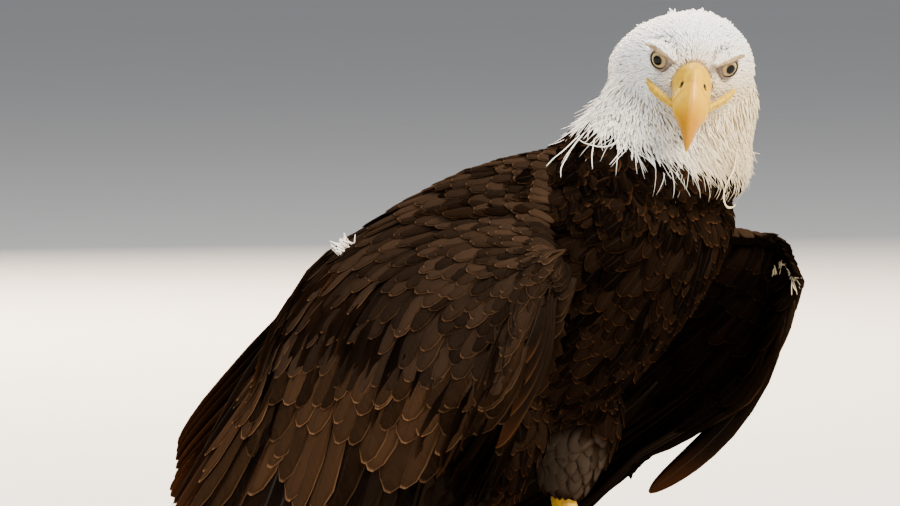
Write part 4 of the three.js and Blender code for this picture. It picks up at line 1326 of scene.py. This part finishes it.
def flight_feathers(wing, side, sheet, look):
    """Quills laid along the ribs: each one is rolled so that its outer edge lies over the
    next feather outwards, and rounds off at its tip."""
    lift = -0.0054 + 0.0036 * smoothstep(0.15, 0.7, QUILL_AT)
    rows = []
    for name, count, (start, stop), half, root, reach, tilt in FLIGHT_ROWS:
        place = (np.arange(count) + 0.5) / count
        a = lerp(start, stop, place) / OUTER_RIB
        inward = lerp(start, stop, lerp(place, 0.5, 0.12)) / OUTER_RIB
        b = root + (reach - root) * QUILL_AT * np.ones((count, 1))
        across = inward[:, None] + (a - inward)[:, None] * QUILL_AT
        line, up = sheet.point(across, b), sheet.normal(across, b)
        slim = outline(QUILL_AT, 0.72, 2.6, root_start=0.35, root_width=0.25, blunt=0.12)
        if name == "primaries":
            slim = slim * lerp(1.0, 0.72, smoothstep(0.45, 0.8, QUILL_AT))
        rows.append((
            line + up * lift[:, None], up, half * slim * np.ones((count, 1)),
            RNG.uniform(0.1, 0.9, count), np.full(count, side * tilt)))
    spine, up, half, tone, tilt = gathered(rows)
    number = np.arange(len(tone))
    cell = np.stack([number % BAKE_COLUMNS, number // BAKE_COLUMNS], 1)
    centre = (cell + 0.5) / [BAKE_COLUMNS, cell[-1, 1] + 1]
    vanes(
        f"{wing}_flight_feathers", look, spine, up, half, QUILL, 0.0005, 0.10,
        tilt + RNG.normal(0, 0.012, len(tone)), tone, centre, patch=0.1,
        nodes=[f"{wing}_{row[0]}" for row in FLIGHT_ROWS])


# Feathers of the thumb: share of its path, half width.
THUMB = [(1.0, 0.0105), (0.80, 0.0095), (0.62, 0.0085), (0.46, 0.007)]


def alula_feathers(wing, side, path, look):
    """Four stiff feathers of the thumb: the longest follows the path, the others lie on it,
    each shorter than the one under it."""
    rows = []
    for i, (reach, width) in enumerate(THUMB):
        line = plan(spline(path, QUILL_AT * reach))
        along = unit(np.gradient(line, axis=0))
        up = level(np.broadcast_to([side, -0.45, 0.1], line.shape), along)
        across = np.cross(along, up) * -side
        shape = outline(QUILL_AT, 0.55, 2.2, root_start=0.4, root_width=0.12, blunt=0.12)
        rows.append((line + up * (0.0009 * i) + across * (0.0025 * i - 0.002), up, width * shape))
    line, up, half = (np.array(part) for part in zip(*rows))
    vanes(
        f"{wing}_alula_feathers", look, line, up, half, QUILL, 0.0007, 0.12, side * 0.06,
        RNG.uniform(0.3, 0.9, len(THUMB)), spots(len(THUMB)), patch=0.2, nodes=[f"{wing}_alula"])


# ---- tail

RECTRICES = 12
# Rows of tail coverts: share of the tail at their tips, length, half width.
TAIL_COVERTS = [(0.40, 0.085, 0.012), (0.30, 0.07, 0.011), (0.20, 0.055, 0.010), (0.11, 0.045, 0.010)]


def tail_sheet():
    """The tail's top: a ridge line with a spread that grows towards its tip."""
    t = np.linspace(0, 1, 121)
    y, z, wide = spline(TAIL, t).T
    across = np.linspace(-1, 1, 61)[:, None]
    drop = 6 * across**2 * (1 - t)
    grid = np.stack([across * wide, y + 0 * across, np.maximum(z - drop, 1.8)], -1)
    return Sheet(plan(grid), 1)


def tail_feathers(white):
    """Twelve rectrices in a fan, the middle pair on top, and rows of coverts over their
    bases above and below."""
    sheet = tail_sheet()
    place = (np.arange(RECTRICES) + 0.5) / RECTRICES
    reach = 0.985 * (1 - 0.085 * (2 * place - 1) ** 2)
    a = lerp(0.5, place, 0.92)[:, None] * np.ones(len(QUILL_AT))
    b = reach[:, None] * QUILL_AT + 0.03 * (1 - QUILL_AT)
    outward_share = np.abs(2 * place - 1)[:, None, None]
    line, up = sheet.point(a, b), sheet.normal(a, b)
    line = line - up * (0.0006 + 0.0009 * outward_share)
    slim = outline(QUILL_AT, 0.80, 2.6, root_start=0.4, root_width=0.3, blunt=0.14)
    vanes(
        "tail_feathers", white, line, up, 0.0155 * slim * np.ones((RECTRICES, 1)), QUILL, 0.0008,
        0.08, np.where(place > 0.5, -0.11, 0.11), RNG.uniform(0.05, 0.5, RECTRICES),
        spots(RECTRICES), patch=0.07, nodes=["tail"])
    rows = []
    for row, (tip, length, wide) in enumerate(TAIL_COVERTS):
        n = 7 + row % 2
        across = (np.arange(n) + 0.5) / n
        for face, lift, corner in ((1, 0.0035 * COVERT_AT - 0.002, 0), (-1, 0.004 * COVERT_AT - 0.012, 0.5)):
            b_tip = tip + RNG.normal(0, 0.01, n)
            spine, up = laid(sheet, lerp(0.5, across, 0.9), b_tip, np.full(n, length), 0.0, lift)
            half = wide * np.ones((n, 1)) * outline(COVERT_AT, 0.5, 2.4, blunt=0.14)
            rows.append((spine, up * face, half, map_place(across, np.full(n, tip + corner))))
    spine, up, half, uv = gathered(rows)
    n = len(uv)
    tone = RNG.uniform(0.05, 0.9, n)
    vanes("tail_coverts", white, spine, up, half, COVERT, 0.0007, 0.16, RNG.normal(0, 0.05, n), tone, uv)


# ---- face

SIDES = (("right", -1), ("left", 1))
LOOK_TURN, LOOK_RISE = 31, -1
LID_BALL, LID_OPENING = 11.2, 6.0
RIM_RADIUS, RIM_HEIGHT = 16.5, 40


def profile_solid(sections, rings, sides, squareness):
    """A closed solid of upright superellipse sections in the head's frame."""
    ridge = spline([[section[3]] for section in sections], np.linspace(0, 1, rings))
    grid = ring_sheet(profile_rings(sections, rings), sides + 1, squareness, ridge)
    return grid[:-1].transpose(1, 0, 2)


def with_hubs(values, near=0, far=0):
    """Values for a grid's places and for the two hubs that close it."""
    return np.concatenate([np.ravel(values), [near, far]])


def eye_ball(name, centre, look, sideways, upward, glass):
    """A ball with a corneal bulge about its look axis."""
    polar = np.linspace(0.004, math.pi - 0.004, 72)[:, None]
    turn = circle(64)
    radius = EYE_RADIUS - 0.6 + 1.1 * np.exp(-((np.degrees(polar) / 26) ** 4))
    ring = radius * np.sin(polar)
    line = centre + (radius * np.cos(polar))[..., None] * look
    obj = tube_piece(f"eye_{name}_ball", head(ringed(line, sideways, upward, ring, ring, turn)))
    away = with_hubs(np.where(polar > 1.5, 20, ring) + 0 * turn, 0, 20) / 1000
    spin = with_hubs(np.abs(turn / np.pi - 1) * 8 + 0 * polar, 8, 8)
    mark(obj, "axis", np.stack([away, spin, 0 * spin], 1))
    finish_piece(obj, glass, f"eye_{name}")


def eyelid(name, centre, look, sideways, upward, ground, lid_skin):
    """A ring that rides on the ball, lips out over it, and sinks into the face around it.
    Returns its outer surface."""
    turn = circle(64)
    t = np.linspace(0, 1, 26)[:, None]
    lip = LID_OPENING + 10.5 * t**1.1 + 0 * turn
    ride = np.sqrt(np.maximum(LID_BALL**2 - np.minimum(lip, 9.6) ** 2, 1))
    ride = ride + 0.5 * np.exp(-((t - 0.07) / 0.05) ** 2)
    rim = ringed((centre + RIM_HEIGHT * look)[None], sideways, upward, RIM_RADIUS, RIM_RADIUS, turn)[0]
    inward = Vector(-head_direction(look))
    hits = [ground.tree.ray_cast(Vector(p), inward)[3] or 0.034 for p in head(rim)]
    deep = RIM_HEIGHT - np.array(hits) * 1000 - 0.9
    for _ in range(4):
        deep = (np.roll(deep, 1) + 2 * deep + np.roll(deep, -1)) / 4
    height = lerp(ride, deep[None], smoothstep(0.16, 0.9, t))
    outer = ringed(centre + height[..., None] * look, sideways, upward, lip, lip, turn)
    inner = outer - look * 0.9 * (0.35 + 0.65 * smoothstep(0, 0.15, t))[..., None]
    shell = np.concatenate([outer, inner[::-1]])
    points = head(shell).reshape(-1, 3)
    quads, _ = outward(points, ring_faces(len(shell), turn.size, loop=True))
    obj = put_mesh(f"eyelid_{name}", points, quads)
    dark = np.exp(-((t / 0.05) ** 2)) + 0 * turn
    mark(obj, "pit", np.concatenate([dark, dark[::-1]]))
    finish_piece(obj, lid_skin)
    return head(outer)


def eyes(ground, glass, lid_skin, white):
    """Each eye's ball and lids about its look axis, and the tufts on the lids."""
    yaw, rise = math.radians(LOOK_TURN), math.radians(LOOK_RISE)
    for name, side in SIDES:
        look = unit(np.array([side * math.sin(yaw), -math.cos(yaw), math.sin(rise)]))
        sideways = unit(np.cross(look, [0, 0, 1.0]))
        upward = np.cross(sideways, look)
        centre = np.array(EYE_CENTRE) * [side, 1, 1]
        eye_ball(name, centre, look, sideways, upward, glass)
        outer = eyelid(name, centre, look, sideways, upward, ground, lid_skin)
        lid_tufts(name, outer, head_direction(look), white)


def patch_tufts(name, sheet, out, a, b, lie, length, uv, white):
    """Tiny tufts that stand on a small sheet of the face: roots at (a, b), laid in the lie,
    with the sheet's normals turned to the out side."""
    n = len(a)
    root, normal = sheet.point(a, b), sheet.normal(a, b)
    normal = np.where((normal @ out)[:, None] < 0, -normal, normal)
    lie = level(unit(lie + RNG.normal(0, 0.13, (n, 3))), normal)
    run = (length[:, None] * BLADE_AT)[..., None]
    lift = 0.0001 + 0.2 * run * (1 - 0.4 * BLADE_AT[:, None])
    spine = root[:, None] + lie[:, None] * run + normal[:, None] * lift
    up = np.broadcast_to(normal[:, None], spine.shape)
    half = 0.00032 * outline(BLADE_AT, 0.2, 1.6, root_width=0.6, blunt=0.06) * np.ones((n, 1))
    vanes(
        name, white, spine, up, half, BLADE, 0.0003, 0.15, RNG.normal(0, 0.2, n),
        RNG.uniform(0.02, 1, n), uv)


def lid_tufts(name, grid, look, white):
    """Tufts rooted on the lids' outer part that lie back and away from the eye."""
    sheet = Sheet(grid.transpose(1, 0, 2), 1)
    a, b = RNG.uniform(0, 1, 1500), 0.24 + 0.75 * RNG.uniform(0, 1, 1500) ** 0.8
    radial = unit(sheet.point(a, b) - grid.mean((0, 1)))
    lie = head_direction([0, 1, -0.12]) + radial * 0.75
    uv = 0.5 + 0.45 * np.stack([b * np.cos(2 * np.pi * a), b * np.sin(2 * np.pi * a)], 1)
    patch_tufts(f"eyelid_{name}_tufts", sheet, look, a, b, lie, lerp(0.0022, 0.0042, b), uv, white)


def bill(look, waxy):
    """Upper bill: a splined hook with a rounded ridge. Cere:
    the soft band behind it, pitted by the two nostrils. Lower bill: a shallow trough form."""
    grid = profile_solid(BILL, 90, 56, 2.2)
    middle = grid[..., 2].mean(1, keepdims=True)
    ridge = np.exp(-((grid[..., 0] / 3.2) ** 2))
    grid[..., 2] += 0.35 * ridge * (grid[..., 2] > middle)
    obj = tube_piece("bill_upper_horn", head(grid))
    mark(obj, "hook", with_hubs(np.repeat(np.linspace(0, 1, 90), 56), 0, 1))
    # The ridge attribute places the pale ridge colour, which is partly a painted highlight.
    above = smoothstep(-1, 5, grid[..., 2] - grid[..., 2].mean(1, keepdims=True))
    mark(obj, "ridge", with_hubs(ridge * above))
    finish_piece(obj, look, "bill_upper")
    grid = profile_solid(CERE, 96, 120, 2.3)
    swell = np.linspace(0, 1, 96)[:, None]
    grid[..., 0] *= 1 + 0.05 * np.sin(np.pi * swell) + 0.04 * swell**5
    grid[..., 1] -= 2.6 * swell**5 * np.sin(circle(120)) ** 2
    away = grid[..., 1:] - NOSTRIL[1:]
    lean = math.radians(25)
    across = away @ [math.cos(lean), math.sin(lean)]
    upright = away @ [-math.sin(lean), math.cos(lean)]
    spot = ((across / 2.5) ** 2 + (upright / 1.7) ** 2) * np.where(np.abs(grid[..., 0]) > 3, 1, 50)
    hole = np.exp(-(spot**2))
    lip = np.exp(-((np.sqrt(spot) - 1.5) ** 2) / 0.12)
    grid[..., 0] -= np.sign(grid[..., 0]) * (1.0 * hole - 0.3 * lip)
    obj = tube_piece("cere_skin", head(grid))
    # Near-black in the nostril holes: painted shade of their depth.
    mark(obj, "pit", with_hubs(smoothstep(0.12, 0.5, hole)))
    finish_piece(obj, waxy, "cere")
    obj = tube_piece("bill_lower_horn", head(profile_solid(LOWER_BILL, 50, 40, 2.4)))
    mark(obj, "hook", with_hubs(np.repeat(np.linspace(0, 0.7, 50), 40), 0, 0.7))
    finish_piece(obj, look, "bill_lower")


def lip_bar(path, flat):
    """A soft bar along the gape: flattened rings across its tangent, their radius wavering."""
    t = np.linspace(0, 1, 44)
    line = spline(path, t)
    tangent = unit(np.gradient(line, axis=0))
    across = unit(np.cross(tangent, [0, 0, 1.0]))
    angle = circle(16)
    waver = 1 + 0.06 * np.sin(9 * np.pi * t[:, None] + 2 * np.sin(angle))
    radius = spline(np.array(GAPE_RADII)[:, None], t) * waver
    return ringed(line[:, None], across, np.cross(across, tangent), radius * flat, radius, angle)


def unpitted(obj, look, *nodes):
    """Finishes a piece of bare skin that has no pits."""
    mark(obj, "pit", np.zeros(len(obj.data.vertices)))
    finish_piece(obj, look, *nodes)


BROW_TUFTS = 420


def brows_and_gapes(brow_skin, waxy, white):
    """Brow ridges that overhang the eyes, and the yellow lips that run back from the bill."""
    for name, side in SIDES:
        mirror = [side, 1, 1]
        t = np.linspace(0, 1, 48)
        edge = spline(np.array(BROW) * mirror, t)
        swell = 1 + 0.05 * np.sin(9 * np.pi * t)[:, None]
        radius = spline(np.array(BROW_RADII)[:, None], t) * swell
        angle = circle(28)
        inward = unit(np.array([-side * 0.80, 0.45, 0.22]))
        over = unit(np.cross(inward, [side, 1.2, 0]))
        over = over * np.sign(over[2])
        front = np.cos(angle) > 0
        grid = ringed(
            edge[:, None], -inward, over, radius * np.where(front, 1, 4.2),
            radius * np.where(front, 1, 0.8), angle)
        unpitted(tube_piece(f"brow_{name}_ridge", head(grid)), brow_skin, f"brow_{name}")
        sheet = Sheet(head(grid[:, np.sin(angle[0]) > -0.2][:, 1:]), 1)
        a, b = RNG.uniform(0.0, 1, BROW_TUFTS), RNG.uniform(0.36, 1, BROW_TUFTS)
        lie = np.broadcast_to(head_direction([side * 0.25, 1, 0.05]), (BROW_TUFTS, 3))
        patch_tufts(
            f"brow_{name}_tufts", sheet, head_direction([0, -0.2, 1]), a, b, lie,
            RNG.uniform(0.003, 0.0048, BROW_TUFTS), map_place(a, b), white)
        path = np.array(GAPE) * mirror
        lips = lip_bar(path + [0, 0, 0.9], 1.25), lip_bar(path + [0, 0.6, -1.5], 1.1)
        unpitted(tube_piece(f"gape_{name}_lips", *(head(lip) for lip in lips)), waxy, f"gape_{name}")


# ---- legs

TARSUS_PATH = [[44, 19, 78], [44, 14, 52], [44, 6, 28], [44, 0, 13]]
TARSUS_RADII = [9, 8.2, 8.4, 11]
TOES = [  # name, heading from straight ahead, length, talon length
    ("inner", -32, 54, 31), ("middle", 4, 74, 30), ("outer", 38, 58, 27), ("hind", 178, 40, 36),
]
TOE_HEIGHTS = [9, 8.4, 7.2, 6.6, 7]
TOE_RADII = [8.6, 8.2, 7.2, 6.6, 5.4]
TALON_HEIGHTS = [8.4, 10.5, 7.6, 1.6]
TALON_RADII = [4.9, 4.1, 2.5, 0.6]


def scutes(t, angle, count, height):
    """Overlapping plates on the front: a sawtooth along, faded out towards the back."""
    tooth = (t * count) % 1.0
    front = smoothstep(0.1, 0.75, np.sin(angle))
    return height * front * (tooth**0.6 - 0.5)


def tarsus(mirror):
    line, radius, across, over = bar(np.array(TARSUS_PATH) * mirror, TARSUS_RADII, 120)
    angle = circle(28)
    radius = radius * (1 + scutes(np.linspace(0, 1, 120)[:, None], angle, 15, 0.12))
    return ringed(line[:, None], across, over, radius, radius, angle)


def toe_path(foot, ahead, places, heights):
    """Points ahead of the foot's middle, at their heights over the floor."""
    return foot + ahead * np.reshape(places, (-1, 1)) + np.reshape(heights, (-1, 1)) * [0, 0, 1]


def toe_rings(path, sideways, joints):
    """A scuted toe with pads under its joints, rounded off at its end."""
    t = np.linspace(0, 1, 110)[:, None]
    angle = circle(24)
    pads = 0.10 * np.cos(2 * np.pi * (t * joints + 0.5))
    belly = smoothstep(0.2, 0.9, -np.sin(angle)) * pads
    end = np.maximum(1 - ((t - 0.86) / 0.145) ** 2 * (t > 0.86), 0.02)
    wide = spline(np.array(TOE_RADII, float)[:, None], t[:, 0])
    wide = wide * (1 + scutes(t, angle, 13, 0.13) + belly + 0.35 * pads) * np.minimum(1, np.sqrt(end))
    grid = ringed(spline(path, t[:, 0])[:, None], sideways, [0, 0, 1], wide, wide, angle)
    grid[..., 2] = np.maximum(grid[..., 2], 0.0)
    return grid


def talon_rings(path, sideways):
    """A smooth hook with rings across its path, a little narrower than it is tall."""
    t = np.linspace(0, 1, 40)
    line = spline(path, t)
    size = spline(np.array(TALON_RADII)[:, None], t)
    over = np.cross(unit(np.gradient(line, axis=0)), sideways)
    grid = ringed(line[:, None], sideways, over, size * 0.82, size, circle(18))
    grid[..., 2] = np.maximum(grid[..., 2], 0.3)
    return grid


def feet(skin_finish, horn_finish):
    """Scuted tarsi, a ball where the toes meet, and the toes with their hooked talons."""
    polar, turn = np.linspace(0.02, math.pi - 0.02, 30)[:, None], circle(32)
    ball = np.stack([
        12.2 * np.sin(polar) * np.cos(turn), 12.2 * np.sin(polar) * np.sin(turn),
        10.6 * np.cos(polar) + 0 * turn], -1)
    for name, side in (("left", 1), ("right", -1)):
        foot = np.array([side * 44.0, 0, 0])
        tubes = [tarsus([side, 1, 1]), ball + foot + [0, 0, 11]]
        talons = []
        for toe, heading, length, talon in TOES:
            angle = math.radians(heading)
            ahead = np.array([side * math.sin(angle), -math.cos(angle), 0])
            sideways = np.array([ahead[1], -ahead[0], 0])
            joints = 3 if toe in ("middle", "outer") else 2
            path = toe_path(foot, ahead, np.linspace(4, length, 5), TOE_HEIGHTS)
            tubes.append(toe_rings(path, sideways, joints))
            places = length + np.array([-2, 0.38 * talon, 0.66 * talon, 0.8 * talon])
            talons.append(talon_rings(toe_path(foot, ahead, places, TALON_HEIGHTS), sideways))
        nodes = [f"leg_{name}_toe_{toe[0]}" for toe in TOES]
        tubes = tube_piece(f"foot_{name}", *(plan(grid) for grid in tubes))
        unpitted(tubes, skin_finish, f"leg_{name}_tarsus", *nodes)
        talons = tube_piece(f"talons_{name}", *(plan(grid) for grid in talons))
        finish_piece(talons, horn_finish, *(f"{node}_talon" for node in nodes))


# ---- making


def wings(contour):
    """Flight feathers, coverts and thumb feathers of both wings."""
    lesser = dark_plumage(
        "dark_lesser_coverts", (0.0036, 0.0022, 0.0014), (0.025, 0.0138, 0.0078),
        (0.12, 0.062, 0.030), 0.3, 0.6)
    covert = dark_plumage(
        "dark_coverts", (0.0040, 0.0022, 0.0012), (0.034, 0.0165, 0.0076), (0.19, 0.096, 0.044),
        0.3, 0.6)
    quill = dark_plumage(
        "dark_flight_feathers", (0.0018, 0.0013, 0.001), (0.009, 0.0052, 0.0031),
        (0.09, 0.040, 0.016), 0.42, 0.45, quill=(0.030, 0.024, 0.019), painted_backlight_share=0.5)
    for wing, side, ribs, thumb in (
            ("wing_right", -1, RIGHT_RIBS, RIGHT_ALULA), ("wing_left", 1, LEFT_RIBS, LEFT_ALULA)):
        outer = wing_sheet(ribs, side)
        under = under_sheet(outer, side)
        outer.normals = softened(outer.normals, 5)
        flight_feathers(wing, side, outer, quill)
        wing_coverts(wing, side, outer, under, lesser, covert, contour)
        alula_feathers(wing, side, thumb, quill)


def face(ground, white):
    lids = waxy_skin(
        "lid_skin", "brow_skin", (0.30, 0.24, 0.20), (0.16, 0.11, 0.09), (0.008, 0.006, 0.006), 900)
    eyes(ground, eye_finish(), lids, white)
    # The pit colour is painted shade in the nostril holes.
    cere = waxy_skin(
        "cere_wax", "bill", (0.60, 0.345, 0.001), (0.48, 0.235, 0.001), (0.004, 0.002, 0.001), 700)
    bill(bill_horn(), cere)
    brow = waxy_skin(
        "brow_bare_skin", "brow_skin", (0.36, 0.25, 0.12), (0.20, 0.125, 0.06), (0.1, 0.05, 0.03), 700)
    gape = waxy_skin(
        "gape_skin", "bill", (0.54, 0.33, 0.003), (0.40, 0.21, 0.003), (0.06, 0.02, 0.006), 800)
    brows_and_gapes(brow, gape, white)


def make_eagle():
    ground = Ground(make_skin())
    contour = dark_plumage(
        "dark_contour_feathers", (0.0015, 0.0009, 0.0006), (0.0085, 0.0044, 0.0023),
        (0.05, 0.021, 0.008), 0.36, 0.65)
    white = white_plumage()
    body_coat(ground, contour)
    head_coat(ground, white)
    neck_coat(ground, white)
    wings(contour)
    tail_feathers(white)
    hood_wisps(ground, white)
    long_strands(white)
    loose_down(white)
    face(ground, white)
    skin = waxy_skin(
        "foot_bare_skin", "foot_skin", (0.52, 0.30, 0.004), (0.34, 0.175, 0.003), (0.2, 0.1, 0.02), 420)
    feet(skin, talon_finish())


camera_and_lights()
make_eagle()
